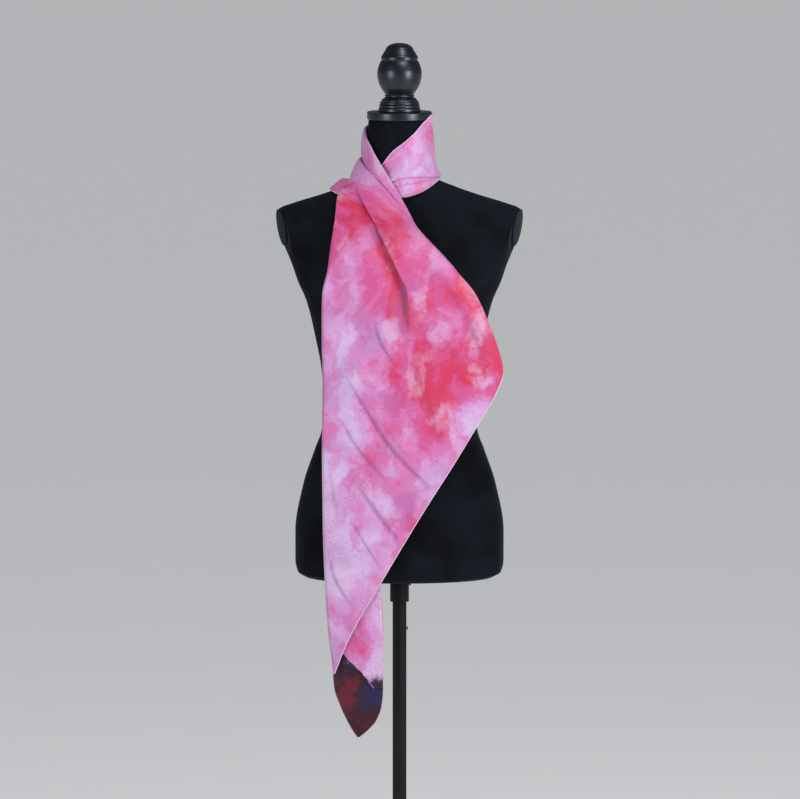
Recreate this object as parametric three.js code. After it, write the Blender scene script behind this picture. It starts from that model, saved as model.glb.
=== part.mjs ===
// A silk square scarf wound once round the neck of a limbless dress form, which stands on a pole.
// Millimetres, +Z up. The front faces -Y, so a depth here is a distance towards the front (-y).
// The origin is on the floor, under the pole. Right means +X, the right side seen from the front.

import * as THREE from 'three';

// Stand sizes
const BASE_RADIUS = 170;
const BASE_THICK = 6;
const SOCKET_RADIUS = 19;
const SOCKET_TOP = 56;
const POLE_RADIUS = 11;
const POLE_TOP = 1050;
const BUTTON_RADIUS = 3;
const BUTTON_HEIGHT = 615;
const BUTTON_PROUD = 2.2;
const CLAMP_RADIUS = 15;
const CLAMP_LENGTH = 41.5;
const CLAMP_SCREW_RADIUS = 2.6;
const CLAMP_SCREW_HEIGHT = 686;
const CLAMP_SCREW_PROUD = 3;

// Dress form sizes
const FORM_BOTTOM = 700;
const NECK_TOP = 1423.2;
const BORE_RADIUS = 12;
const BORE_TOP = 1112;
const BUST = { across: 76, height: 1168, rise: 30, spreadAcross: 40, spreadUp: 42 };
const ARM = { bottom: 1200, height: 1253, outAt: 188, lean: 0.17, halfHeight: 29, halfDepth: 34, thick: 4 };
const CAP_RADIUS = 51;
const CAP_THICK = 12;

// Cloth sizes
const CLOTH = 1.2;
const SEAM = 0.3;
const FOLD_SEAM = 0.33;
const AROUND_POLE = POLE_RADIUS + SEAM;
const FORM_CLEARANCE = 3;
const PRESSED = 1.2;
const LAYER = 5;
const LEFT_FOLD = 5;
const RIGHT_FOLD = 2.5;

// Horizontal sections of the form, from the hips up to the neck
const FORM_SECTIONS = [
  { height: 700, half: 150, front: 97, back: 103, power: 2.2 },
  { height: 707, half: 161, front: 107, back: 113, power: 2.2 },
  { height: 726, half: 165, front: 109, back: 118, power: 2.2 },
  { height: 771, half: 165, front: 108, back: 120, power: 2.2 },
  { height: 847, half: 152, front: 97, back: 109, power: 2.2 },
  { height: 901, half: 134, front: 88, back: 94, power: 2.2 },
  { height: 933, half: 123, front: 84, back: 84, power: 2.2 },
  { height: 979, half: 120, front: 83, back: 80, power: 2.2 },
  { height: 1027, half: 123, front: 86, back: 82, power: 2.2 },
  { height: 1076, half: 132, front: 94, back: 88, power: 2.2 },
  { height: 1135, half: 146, front: 102, back: 96, power: 2.2 },
  { height: 1170, half: 162, front: 106, back: 102, power: 2.2 },
  { height: 1222, half: 189, front: 98, back: 108, power: 2.2 },
  { height: 1240, half: 198, front: 90, back: 107, power: 2.2 },
  { height: 1262, half: 203, front: 76, back: 102, power: 2.1 },
  { height: 1280, half: 196, front: 64, back: 94, power: 1.9 },
  { height: 1292, half: 166, front: 57, back: 86, power: 1.7 },
  { height: 1305, half: 124, front: 53, back: 78, power: 1.5 },
  { height: 1318, half: 87, front: 51, back: 69, power: 1.5 },
  { height: 1330, half: 60, front: 50, back: 61, power: 1.8 },
  { height: 1345, half: 53, front: 49.5, back: 55, power: 2.0 },
  { height: 1365, half: 50, front: 49, back: 51, power: 2.0 },
  { height: NECK_TOP, half: 49, front: 49, back: 49, power: 2.0 },
];

// Turned profile of the finial above the neck cap
const FINIAL_PROFILE = [
  { radius: 32.8, up: 0 }, { radius: 33, up: 4 }, { radius: 31.6, up: 6.7 }, { radius: 31.6, up: 11 },
  { radius: 29.6, up: 15.4 }, { radius: 26.5, up: 19.6 }, { radius: 22.8, up: 22.8 }, { radius: 22.6, up: 26.6 },
  { radius: 24.5, up: 30 }, { radius: 29.2, up: 37 }, { radius: 33.6, up: 48 }, { radius: 35.1, up: 59 },
  { radius: 33.8, up: 69 }, { radius: 30, up: 78 }, { radius: 28.4, up: 80.6 }, { radius: 28.8, up: 84 },
  { radius: 27.6, up: 88.8 }, { radius: 24, up: 94 }, { radius: 21.2, up: 99 }, { radius: 17, up: 103.5 },
  { radius: 10, up: 106.6 },
];

// How far in front of the axis the hanging cloth lies, innermost layer, at the middle of the panel
const HANG = [
  { height: 455, depth: 112 }, { height: 563, depth: 114 }, { height: 700, depth: 117 },
  { height: 850, depth: 119 }, { height: 1040, depth: 121 }, { height: 1122, depth: 127 },
  { height: 1176, depth: 128 }, { height: 1215, depth: 117 }, { height: 1258, depth: 92 },
  { height: 1292, depth: 60 },
];

// Side edges of the front panel below the neck: a soft fold on the left, a fold and then a hem on the right
const FRONT_EDGES = [
  { height: 561, left: -104, right: -102 },
  { height: 574, left: -105, right: -97 },
  { height: 595, left: -108, right: -89 },
  { height: 628, left: -112, right: -74 },
  { height: 708, left: -117, right: -28 },
  { height: 801, left: -120, right: 27 },
  { height: 926, left: -121, right: 105 },
  { height: 1021, left: -120, right: 158 },
  { height: 1034, left: -120, right: 161.5 },
  { height: 1046, left: -120, right: 161 },
  { height: 1073, left: -121, right: 154 },
  { height: 1122, left: -121, right: 136 },
  { height: 1159, left: -120, right: 119 },
  { height: 1196, left: -112, right: 89 },
  { height: 1235, left: -107, right: 52 },
  { height: 1258, left: -103, right: 30 },
];

// Ribs of the front panel where it comes round the left of the neck, from the back to the chest
const FRONT_NECK_RIBS = [
  { rightX: -55, rightDepth: -26, rightZ: 1364, leftX: -65, leftDepth: -31, leftZ: 1333 },
  { rightX: -64, rightDepth: 0, rightZ: 1361, leftX: -76, leftDepth: 0, leftZ: 1333 },
  { rightX: -57, rightDepth: 27, rightZ: 1351, leftX: -80, leftDepth: 14, leftZ: 1329 },
  { rightX: -44, rightDepth: 45, rightZ: 1340, leftX: -86, leftDepth: 27, leftZ: 1321 },
  { rightX: -26, rightDepth: 61, rightZ: 1322, leftX: -93, leftDepth: 40, leftZ: 1314 },
  { rightX: -10, rightDepth: 72, rightZ: 1303, leftX: -97, leftDepth: 52, leftZ: 1303 },
  { rightX: 10, rightDepth: 84, rightZ: 1282, leftX: -99, leftDepth: 70, leftZ: 1284 },
];

// Ribs of the strip that lies under the front panel's right edge and shows above it at the neck
const RETURN_NECK_RIBS = [
  { rightX: -50, rightDepth: -24, rightZ: 1411, leftX: -52, leftDepth: -25, leftZ: 1357 },
  { rightX: -57, rightDepth: 1, rightZ: 1407, leftX: -58, leftDepth: 1, leftZ: 1354 },
  { rightX: -55, rightDepth: 15, rightZ: 1394, leftX: -53, leftDepth: 21, leftZ: 1345 },
  { rightX: -46, rightDepth: 38, rightZ: 1379, leftX: -47, leftDepth: 35, leftZ: 1333 },
  { rightX: -29, rightDepth: 53, rightZ: 1354, leftX: -36, leftDepth: 47, leftZ: 1318 },
  { rightX: -14, rightDepth: 61.5, rightZ: 1331, leftX: -24, leftDepth: 59, leftZ: 1300 },
  { rightX: 2, rightDepth: 70, rightZ: 1305, leftX: -16, leftDepth: 72, leftZ: 1278 },
  { rightX: 15, rightDepth: 80, rightZ: 1282, leftX: -10, leftDepth: 84, leftZ: 1264 },
];

const RETURN_EDGES = [
  { height: 1034, left: 158, right: 161.5 },
  { height: 1046, left: 140, right: 161 },
  { height: 1073, left: 92, right: 154 },
  { height: 1122, left: 76, right: 136 },
  { height: 1196, left: 40, right: 89 },
  { height: 1258, left: -8, right: 30 },
];

// The layer behind the front panel, down to the scarf's hanging corner
const BACK_EDGES = [
  { height: 460, left: -66, right: -63 },
  { height: 470, left: -73, right: -51 },
  { height: 486, left: -82, right: -37 },
  { height: 508, left: -92, right: -29 },
  { height: 538, left: -102, right: -26 },
  { height: 574, left: -105, right: -26 },
  { height: 595, left: -108, right: -26 },
  { height: 628, left: -112, right: -26 },
  { height: 708, left: -117, right: -29 },
  { height: 801, left: -120, right: -28 },
  { height: 1046, left: -120, right: -28 },
  { height: 1159, left: -120, right: -32 },
  { height: 1196, left: -112, right: -38 },
  { height: 1258, left: -103, right: -55 },
];

// The stretch folded forward from the back layer's right side, between it and the front panel
const INNER_EDGES = [
  { height: 538, left: -41, right: -26 },
  { height: 557, left: -54, right: -26 },
  { height: 595, left: -89, right: -26 },
  { height: 612, left: -97, right: -26 },
  { height: 708, left: -104, right: -29 },
  { height: 930, left: -106, right: -28 },
];

// The collar round the neck, by angle from the front towards the right
const COLLAR_RIBS = [
  { angle: -50, upRadius: 50, upZ: 1338, lowRadius: 54, lowZ: 1322, flare: 2 },
  { angle: -33, upRadius: 50, upZ: 1354, lowRadius: 55, lowZ: 1326, flare: 2 },
  { angle: -12, upRadius: 50, upZ: 1376, lowRadius: 59.5, lowZ: 1331, flare: 2 },
  { angle: 10, upRadius: 50.5, upZ: 1391, lowRadius: 62, lowZ: 1337, flare: 2.5 },
  { angle: 27, upRadius: 51.6, upZ: 1404, lowRadius: 62, lowZ: 1338, flare: 3 },
  { angle: 48, upRadius: 52, upZ: 1421, lowRadius: 63, lowZ: 1337, flare: 4 },
  { angle: 73, upRadius: 52.4, upZ: 1431, lowRadius: 65, lowZ: 1336, flare: 5 },
  { angle: 95, upRadius: 52.5, upZ: 1432, lowRadius: 66, lowZ: 1336, flare: 5 },
  { angle: 130, upRadius: 52.5, upZ: 1430, lowRadius: 68, lowZ: 1335, flare: 4 },
  { angle: 180, upRadius: 52.8, upZ: 1424, lowRadius: 70, lowZ: 1335, flare: 3 },
  { angle: 215, upRadius: 54, upZ: 1417, lowRadius: 70, lowZ: 1334, flare: 2.5 },
  { angle: 243.9, upRadius: 56, upZ: 1411, lowRadius: 71, lowZ: 1333, flare: 2 },
];

// The lower fold that comes out from under the collar and rests on the chest and shoulders
const LOWER_FOLD_RIBS = [
  { angle: -32, upRadius: 50, upZ: 1324, lowRadius: 56, lowZ: 1309, flare: 1 },
  { angle: -12, upRadius: 53, upZ: 1336, lowRadius: 60, lowZ: 1305, flare: 0.8 },
  { angle: 8, upRadius: 56.5, upZ: 1341, lowRadius: 62, lowZ: 1306, flare: 0.5 },
  { angle: 29, upRadius: 56.5, upZ: 1342, lowRadius: 62, lowZ: 1311, flare: 0.5 },
  { angle: 50, upRadius: 57, upZ: 1342, lowRadius: 63, lowZ: 1320, flare: 0.8 },
  { angle: 70, upRadius: 57.5, upZ: 1341, lowRadius: 64, lowZ: 1328, flare: 1 },
  { angle: 88, upRadius: 57.5, upZ: 1341, lowRadius: 64.5, lowZ: 1330.5, flare: 1.2 },
  { angle: 110, upRadius: 58, upZ: 1341, lowRadius: 67, lowZ: 1329, flare: 1.3 },
  { angle: 145, upRadius: 60, upZ: 1341, lowRadius: 72, lowZ: 1324, flare: 1.3 },
  { angle: 180, upRadius: 61, upZ: 1341, lowRadius: 73, lowZ: 1322, flare: 1.3 },
  { angle: 215, upRadius: 61, upZ: 1341, lowRadius: 72, lowZ: 1324, flare: 1.3 },
  { angle: 238, upRadius: 61, upZ: 1340, lowRadius: 69, lowZ: 1328, flare: 1.3 },
];

// The scarf's other corner, lying on the left shoulder, from its tip in under the front panel
const SHOULDER_RIBS = [
  { rightX: -109, rightDepth: 4, rightZ: 1314, leftX: -108, leftDepth: 9, leftZ: 1312.4 },
  { rightX: -99, rightDepth: -1, rightZ: 1324, leftX: -98, leftDepth: 29, leftZ: 1309 },
  { rightX: -89, rightDepth: -5, rightZ: 1330, leftX: -87, leftDepth: 34, leftZ: 1308 },
  { rightX: -79, rightDepth: -6, rightZ: 1328.5, leftX: -76, leftDepth: 38, leftZ: 1309 },
  { rightX: -70, rightDepth: -6, rightZ: 1328, leftX: -66, leftDepth: 41, leftZ: 1312 },
];

// Folds of the front panel: a path across it, the rise, and the reach to the left and right of the path
const FRONT_FOLDS = [
  {
    path: [[-72, 1322], [-56, 1300], [-26, 1248], [0, 1196], [12, 1160], [11, 1108]],
    rise: 8, leftReach: 10, rightReach: 26,
  },
  { path: [[-36, 1108], [-14, 1062]], rise: 3.5, leftReach: 9, rightReach: 14 },
  { path: [[-70, 1012], [-32, 954], [26, 878], [56, 850]], rise: 5, leftReach: 10, rightReach: 20 },
  { path: [[-68, 924], [-30, 878]], rise: 3.5, leftReach: 9, rightReach: 14 },
  { path: [[-52, 838], [2, 766]], rise: 4, leftReach: 9, rightReach: 16 },
  { path: [[-104, 728], [-82, 680]], rise: 3, leftReach: 8, rightReach: 12 },
  { path: [[62, 1190], [112, 1110], [136, 1050]], rise: 5, leftReach: 18, rightReach: 14 },
];

// Row heights shared by all layers of the hanging tail, so that their seams meet
const PANEL_TOP = 1258;
const CORNER_HEIGHTS = [1048, 1034, 1021];
const TAIL_TOP = 996;
const PANEL_STEP = 30;
const TIP_HEIGHTS = [612, 595, 574, 561, 548, 538, 522, 508, 486, 470, 460];
const SHARED_HEIGHTS = [
  ...Array.from({ length: 7 }, (_, row) => PANEL_TOP - row * PANEL_STEP),
  ...CORNER_HEIGHTS,
  ...Array.from({ length: 13 }, (_, row) => TAIL_TOP - row * PANEL_STEP),
  ...TIP_HEIGHTS,
];

// A curve through values at rising places that never swings past them
function smoothCurve(places, values) {
  const count = places.length;
  const slopes = [];
  for (let i = 1; i < count; i += 1) slopes.push((values[i] - values[i - 1]) / (places[i] - places[i - 1]));
  const tangents = values.map((_, i) => {
    if (i === 0) return slopes[0];
    if (i === count - 1) return slopes[count - 2];
    const before = slopes[i - 1];
    const after = slopes[i];
    return before * after <= 0 ? 0 : (2 * before * after) / (before + after);
  });
  return (place) => {
    let i = 0;
    while (i < count - 2 && place > places[i + 1]) i += 1;
    const width = places[i + 1] - places[i];
    const t = Math.min(1, Math.max(0, (place - places[i]) / width));
    const rise = t * t * (3 - 2 * t);
    return values[i] * (1 - rise) + values[i + 1] * rise
      + width * t * (1 - t) * (tangents[i] * (1 - t) - tangents[i + 1] * t);
  };
}

// One curve for each named column of a table, over its place column
function tableCurves(rows, placeColumn) {
  const places = rows.map((row, index) => (placeColumn ? row[placeColumn] : index));
  const curves = {};
  for (const column of Object.keys(rows[0])) {
    curves[column] = smoothCurve(places, rows.map((row) => row[column]));
  }
  return curves;
}

const form = tableCurves(FORM_SECTIONS, 'height');
const hang = tableCurves(HANG, 'height');

const smoothStep = (from, to, value) => {
  const t = Math.min(1, Math.max(0, (value - from) / (to - from)));
  return t * t * (3 - 2 * t);
};

const bell = (offset, spread) => Math.exp(-((offset / spread) ** 2));

// The bust stands proud of the plain sections, fading towards the sides
function bustRise(x, z) {
  const across = bell(Math.abs(x) - BUST.across, BUST.spreadAcross);
  return BUST.rise * across * bell(z - BUST.height, BUST.spreadUp);
}

// Depth of the form's front at a place seen from the front
function formDepth(x, z) {
  const inside = 1 - (Math.abs(x) / form.half(z)) ** form.power(z);
  return inside <= 0 ? 0 : form.front(z) * inside ** (1 / form.power(z)) + bustRise(x, z) * Math.sqrt(inside);
}

// Distance from the axis to the form's surface, by angle from the front and height
function formRadius(angle, z) {
  const depth = Math.cos(angle) > 0 ? form.front(z) : form.back(z);
  const power = form.power(z);
  const sum = Math.abs(Math.sin(angle) / form.half(z)) ** power + Math.abs(Math.cos(angle) / depth) ** power;
  return sum ** (-1 / power);
}

// The innermost hanging layer: it lies on the bust and falls straight from there
function drapeDepth(x, z) {
  const onForm = formDepth(x, z) + FORM_CLEARANCE;
  const tailRound = 5 * (1 - ((x + 72) / 50) ** 2) * (1 - smoothStep(600, 720, z));
  const free = hang.depth(z) - 6 * ((x - 10) / 130) ** 2 + tailRound;
  return (onForm + free + Math.hypot(onForm - free, 10)) / 2;
}

// Height of a list of folds at a place seen from the front
function foldRise(folds, x, z) {
  let total = 0;
  for (const fold of folds) {
    let best = Infinity;
    let rise = 0;
    const last = fold.path.length - 1;
    for (let i = 0; i < last; i += 1) {
      const [x0, z0] = fold.path[i];
      const [x1, z1] = fold.path[i + 1];
      const length = Math.hypot(x1 - x0, z1 - z0);
      const along = Math.min(1, Math.max(0, ((x - x0) * (x1 - x0) + (z - z0) * (z1 - z0)) / length ** 2));
      const away = Math.hypot(x - x0 - along * (x1 - x0), z - z0 - along * (z1 - z0));
      if (away < best) {
        best = away;
        const onRight = (x - x0) * (z0 - z1) + (z - z0) * (x1 - x0) > 0;
        const fade = Math.sin(Math.PI * (0.06 + 0.88 * ((i + along) / last))) ** 0.6;
        rise = fold.rise * fade * bell(away, onRight ? fold.rightReach : fold.leftReach);
      }
    }
    total += rise;
  }
  return total;
}

// Places across a row, close together where its two ends turn through a quarter circle
function acrossPlaces(width, startFold, endFold, count) {
  const quarter = [0, 30, 60, 90].map((angle) => 1 - Math.sin(THREE.MathUtils.degToRad(90 - angle)));
  const start = Math.min(startFold, width / 3);
  const end = Math.min(endFold, width / 3);
  const places = quarter.map((share) => share * start);
  for (let i = 1; i < count; i += 1) places.push(start + ((width - start - end) * i) / count);
  quarter.slice().reverse().forEach((share) => places.push(width - share * end));
  return places;
}

// How far a quarter circle of the given radius has turned back, at a distance from its edge
function quarterTurn(radius, away) {
  return away >= radius ? 0 : radius - Math.sqrt(radius ** 2 - (radius - away) ** 2);
}

// One row across the hanging tail, from its right edge to its left edge
function panelRow(layer, height, edges) {
  const left = edges.left(height);
  const right = edges.right(height);
  const width = right - left;
  const rightRadius = Math.min(RIGHT_FOLD, width / 3);
  const leftRadius = Math.min(LEFT_FOLD, width / 3);
  return acrossPlaces(width, RIGHT_FOLD, LEFT_FOLD, layer.columns).map((away) => {
    const x = right - away;
    const middle = smoothStep(2, 20, away) * smoothStep(2, 20, width - away);
    const turned = layer.rightTurn(height) * quarterTurn(rightRadius, away)
      + layer.leftTurn(height) * quarterTurn(leftRadius, width - away);
    const rise = foldRise(layer.folds, x, height) * middle;
    return new THREE.Vector3(x, -(drapeDepth(x, height) + layer.depth + rise + turned), height);
  });
}

// Rows between neck ribs: straight across, bulged a little away from the neck, then folded
function neckRows(layer, ribs, stepsPerRib, bulge, lift = 0) {
  const curves = tableCurves(ribs);
  const rows = [];
  for (let step = 0; step <= (ribs.length - 1) * stepsPerRib; step += 1) {
    const at = step / stepsPerRib;
    const right = new THREE.Vector3(curves.rightX(at), -curves.rightDepth(at), curves.rightZ(at));
    const left = new THREE.Vector3(curves.leftX(at), -curves.leftDepth(at), curves.leftZ(at));
    const width = right.distanceTo(left);
    rows.push(acrossPlaces(width, RIGHT_FOLD, LEFT_FOLD, layer.columns).map((away) => {
      const share = away / width;
      const point = right.clone().lerp(left, share);
      const outward = new THREE.Vector3(point.x, point.y, 0).normalize();
      const middle = smoothStep(2, 20, away) * smoothStep(2, 20, width - away);
      const fade = middle * smoothStep(0, 1, at / (ribs.length - 1));
      const rise = foldRise(layer.folds, point.x, point.z) * fade;
      point.z += lift * Math.sin(Math.PI * share);
      return point.addScaledVector(outward, bulge * Math.sin(Math.PI * share) + rise);
    }));
  }
  return rows;
}

// Rows of a band round the neck, one for each angle step, from its upper to its lower edge
function bandRows(ribs, angleStep, columns, ripple) {
  const curves = tableCurves(ribs, 'angle');
  const first = ribs[0].angle;
  const span = ribs[ribs.length - 1].angle - first;
  const count = Math.round(span / angleStep);
  return Array.from({ length: count + 1 }, (_, step) => {
    const degrees = first + (span * step) / count;
    const angle = THREE.MathUtils.degToRad(degrees);
    return Array.from({ length: columns + 1 }, (__, column) => {
      const share = column / columns;
      const flared = share ** curves.flare(degrees);
      const height = THREE.MathUtils.lerp(curves.upZ(degrees), curves.lowZ(degrees), share);
      const wanted = THREE.MathUtils.lerp(curves.upRadius(degrees), curves.lowRadius(degrees), flared)
        + ripple(share, degrees);
      const inside = Math.max(formRadius(angle, height), height > NECK_TOP ? CAP_RADIUS : 0);
      const radius = Math.max(wanted, inside + PRESSED);
      return new THREE.Vector3(radius * Math.sin(angle), -radius * Math.cos(angle), height);
    });
  });
}

// A closed geometry from vertices and triangles, turned right way out
function closedGeometry(points, triangles) {
  let volume = 0;
  const normal = new THREE.Vector3();
  for (const [a, b, c] of triangles) volume += points[a].dot(normal.crossVectors(points[b], points[c]));
  const facing = volume < 0 ? triangles.map(([a, b, c]) => [a, c, b]) : triangles;
  const geometry = new THREE.BufferGeometry();
  geometry.setAttribute('position', new THREE.Float32BufferAttribute(points.flatMap((p) => p.toArray()), 3));
  geometry.setIndex(facing.flat());
  geometry.computeVertexNormals();
  return geometry;
}

// The cloth wall: a grid of mid-surface points, moved half the thickness to each side and closed at its rim
function clothWall(rows) {
  const rowCount = rows.length;
  const columnCount = rows[0].length;
  const size = rowCount * columnCount;
  const points = [];
  for (const side of [0.5, -0.5]) {
    rows.forEach((row, r) => row.forEach((point, c) => {
      const along = rows[Math.min(r + 1, rowCount - 1)][c].clone().sub(rows[Math.max(r - 1, 0)][c]);
      const across = row[Math.min(c + 1, columnCount - 1)].clone().sub(row[Math.max(c - 1, 0)]);
      points.push(point.clone().addScaledVector(across.cross(along).normalize(), side * CLOTH));
    }));
  }
  const triangles = [];
  const addQuad = (a, b, c, d) => triangles.push([a, b, c], [a, c, d]);
  for (let r = 0; r < rowCount - 1; r += 1) {
    for (let c = 0; c < columnCount - 1; c += 1) {
      const corner = r * columnCount + c;
      addQuad(corner, corner + 1, corner + columnCount + 1, corner + columnCount);
      addQuad(size + corner, size + corner + columnCount, size + corner + columnCount + 1, size + corner + 1);
    }
  }
  const rim = [];
  for (let c = 0; c < columnCount - 1; c += 1) rim.push(c);
  for (let r = 0; r < rowCount - 1; r += 1) rim.push(r * columnCount + columnCount - 1);
  for (let c = columnCount - 1; c > 0; c -= 1) rim.push((rowCount - 1) * columnCount + c);
  for (let r = rowCount - 1; r > 0; r -= 1) rim.push(r * columnCount);
  rim.forEach((here, i) => {
    const next = rim[(i + 1) % rim.length];
    addQuad(here, size + here, size + next, next);
  });
  return closedGeometry(points, triangles);
}

// A closed skin over a stack of rings, with a flat fan at each end
function ringStack(rings) {
  const count = rings[0].length;
  const points = rings.flat();
  const triangles = [];
  for (let r = 0; r < rings.length - 1; r += 1) {
    for (let i = 0; i < count; i += 1) {
      const here = r * count + i;
      const next = r * count + ((i + 1) % count);
      triangles.push([here, next, next + count], [here, next + count, here + count]);
    }
  }
  [0, rings.length - 1].forEach((r) => {
    const centre = new THREE.Vector3();
    rings[r].forEach((point) => centre.add(point));
    points.push(centre.divideScalar(count));
    for (let i = 0; i < count; i += 1) {
      const pair = [r * count + i, r * count + ((i + 1) % count)];
      triangles.push(r === 0 ? [points.length - 1, pair[1], pair[0]] : [points.length - 1, ...pair]);
    }
  });
  return closedGeometry(points, triangles);
}

const armPlane = (z) => (z < ARM.bottom ? Infinity : ARM.outAt + ARM.lean * (z - ARM.height));

// One horizontal section of the form
function formRing(height, sides) {
  return Array.from({ length: sides }, (_, i) => {
    const angle = (2 * Math.PI * i) / sides;
    const power = 2 / form.power(height);
    const across = Math.sign(Math.cos(angle)) * Math.abs(Math.cos(angle)) ** power;
    const ahead = Math.sign(Math.sin(angle)) * Math.abs(Math.sin(angle)) ** power;
    const reach = armPlane(height);
    const x = THREE.MathUtils.clamp(form.half(height) * across, -reach, reach);
    const bust = ahead > 0 ? bustRise(form.half(height) * across, height) * Math.sqrt(ahead) : 0;
    const depth = ahead * (ahead > 0 ? form.front(height) : form.back(height)) + bust;
    return new THREE.Vector3(x, -depth, height);
  });
}

const FORM_SIDES = 36;
const FORM_HEIGHTS = [
  700, 707, 726, 765, 805, 850, 900, 940, 979, 1027, 1076, 1110, 1140, 1168, 1195,
  1222, 1242, 1260, 1275, 1284, 1293, 1302, 1312, 1322, 1332, 1345, 1365, NECK_TOP,
];

// The form's body, with the blind bore that the pole slides in
function makeFormBody() {
  const boreRing = (height) => formRing(height, FORM_SIDES).map((_, i) => {
    const angle = (2 * Math.PI * i) / FORM_SIDES;
    return new THREE.Vector3(BORE_RADIUS * Math.cos(angle), -BORE_RADIUS * Math.sin(angle), height);
  });
  return ringStack([
    boreRing(BORE_TOP), boreRing(FORM_BOTTOM),
    ...FORM_HEIGHTS.map((height) => formRing(height, FORM_SIDES)),
  ]);
}

// A turned piece about the vertical axis, from its profile of radius and height
function turned(profile, sides) {
  const points = profile.map(([radius, height]) => new THREE.Vector2(radius, height));
  return new THREE.LatheGeometry(points, sides).rotateX(Math.PI / 2);
}

function disc(radius, bottom, top, sides) {
  return turned([[0, bottom], [radius, bottom], [radius, top], [0, top]], sides);
}

function ring(innerRadius, outerRadius, bottom, top, sides) {
  const square = [[innerRadius, bottom], [outerRadius, bottom], [outerRadius, top], [innerRadius, top]];
  return turned([...square, square[0]], sides);
}

// A short round pin that points to the right, starting beside the pole
function sidePin(radius, height, innerEnd, outerEnd) {
  return new THREE.CylinderGeometry(radius, radius, outerEnd - innerEnd, 16)
    .rotateZ(Math.PI / 2)
    .translate((innerEnd + outerEnd) / 2, 0, height);
}

// The oval plate that closes an arm opening of the form
function makeArmPlate(side) {
  const middle = ARM.outAt + SEAM + ARM.thick / 2;
  return new THREE.CylinderGeometry(1, 1, ARM.thick, 28)
    .rotateZ(Math.PI / 2)
    .scale(1, ARM.halfDepth, ARM.halfHeight)
    .rotateY(side * Math.atan(ARM.lean))
    .translate(side * middle, 0, ARM.height);
}

const never = () => 0;

// The layers of the hanging tail, from the front inwards
const LAYERS = {
  front: {
    depth: 2 * LAYER, columns: 12, folds: FRONT_FOLDS,
    rightTurn: (z) => -smoothStep(1262, 1234, z) * smoothStep(1021, 1034, z) * (1 - FOLD_SEAM / RIGHT_FOLD),
    leftTurn: (z) => -(1 - FOLD_SEAM / LEFT_FOLD) * smoothStep(1262, 1234, z),
  },
  strip: {
    depth: LAYER, columns: 3, folds: [],
    rightTurn: (z) => smoothStep(1262, 1234, z) * (1 - FOLD_SEAM / RIGHT_FOLD),
    leftTurn: never,
  },
  inner: {
    depth: LAYER, columns: 5, folds: [],
    rightTurn: () => FOLD_SEAM / RIGHT_FOLD - 1,
    leftTurn: never,
  },
  back: {
    depth: 0, columns: 6, folds: [],
    rightTurn: (z) => smoothStep(940, 925, z) * smoothStep(522, 538, z) * (1 - FOLD_SEAM / RIGHT_FOLD),
    leftTurn: (z) => smoothStep(1262, 1234, z) * smoothStep(548, 574, z) * (1 - FOLD_SEAM / LEFT_FOLD),
  },
};

// A layer's rows at the shared heights that its edge table covers
function layerRows(layer, edgeTable) {
  const edges = tableCurves(edgeTable, 'height');
  const lowest = edgeTable[0].height;
  const highest = edgeTable[edgeTable.length - 1].height;
  return SHARED_HEIGHTS.filter((z) => z >= lowest && z <= highest).map((z) => panelRow(layer, z, edges));
}

function makeFront() {
  return clothWall([
    ...neckRows(LAYERS.front, FRONT_NECK_RIBS, 2, 2.5),
    ...layerRows(LAYERS.front, FRONT_EDGES),
  ]);
}

function makeReturn() {
  return clothWall([
    ...neckRows(LAYERS.strip, RETURN_NECK_RIBS, 2, 3),
    ...layerRows(LAYERS.strip, RETURN_EDGES),
  ]);
}

// The collar's two soft pleats lie low on it, and rise towards the back of the neck
const collarRipple = (share, degrees) => {
  const place = 0.62 - 0.12 * Math.sin(THREE.MathUtils.degToRad(degrees / 2));
  return 1.6 * bell(share - place, 0.13) * smoothStep(20, 90, degrees);
};

// The lower fold is full between its edges, with one crease along it
const lowerRipple = (share, degrees) => {
  const fullness = 2.4 - 1.2 * smoothStep(30, 80, degrees);
  return fullness * (Math.sin(Math.PI * share) - 0.7 * bell(share - 0.52, 0.12));
};

// Finish
function finish(color, roughness, metalness) {
  return () => new THREE.MeshStandardMaterial({ color, roughness, metalness, side: THREE.DoubleSide });
}
const silk = finish(0xdc74ae, 0.45, 0);
const darkSilk = finish(0x7a2a55, 0.45, 0);
const velvet = finish(0x141518, 0.95, 0);
const satinBlack = finish(0x1a1b1e, 0.3, 0);
const paintedSteel = finish(0x17181a, 0.4, 0.4);
const brightSteel = finish(0x6c6d70, 0.35, 1);

const model = new THREE.Group();
model.name = 'scarf_on_dress_form';

function addPiece(name, geometry, material) {
  const mesh = new THREE.Mesh(geometry, material());
  mesh.name = name;
  model.add(mesh);
}

// Stand
addPiece('base_plate', disc(BASE_RADIUS, 0, BASE_THICK, 48), paintedSteel);
addPiece('base_socket', ring(AROUND_POLE, SOCKET_RADIUS, BASE_THICK + SEAM, SOCKET_TOP, 24), paintedSteel);
addPiece('pole', disc(POLE_RADIUS, BASE_THICK + SEAM, POLE_TOP, 24), paintedSteel);
const buttonEnds = [AROUND_POLE, POLE_RADIUS + BUTTON_PROUD];
addPiece('snap_button', sidePin(BUTTON_RADIUS, BUTTON_HEIGHT, ...buttonEnds), brightSteel);
const clampTop = FORM_BOTTOM - SEAM;
const clampRing = ring(AROUND_POLE, CLAMP_RADIUS, clampTop - CLAMP_LENGTH, clampTop, 24);
addPiece('clamp_collar', clampRing, paintedSteel);
const screwEnds = [CLAMP_RADIUS + SEAM, CLAMP_RADIUS + CLAMP_SCREW_PROUD];
addPiece('clamp_screw', sidePin(CLAMP_SCREW_RADIUS, CLAMP_SCREW_HEIGHT, ...screwEnds), paintedSteel);

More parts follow.
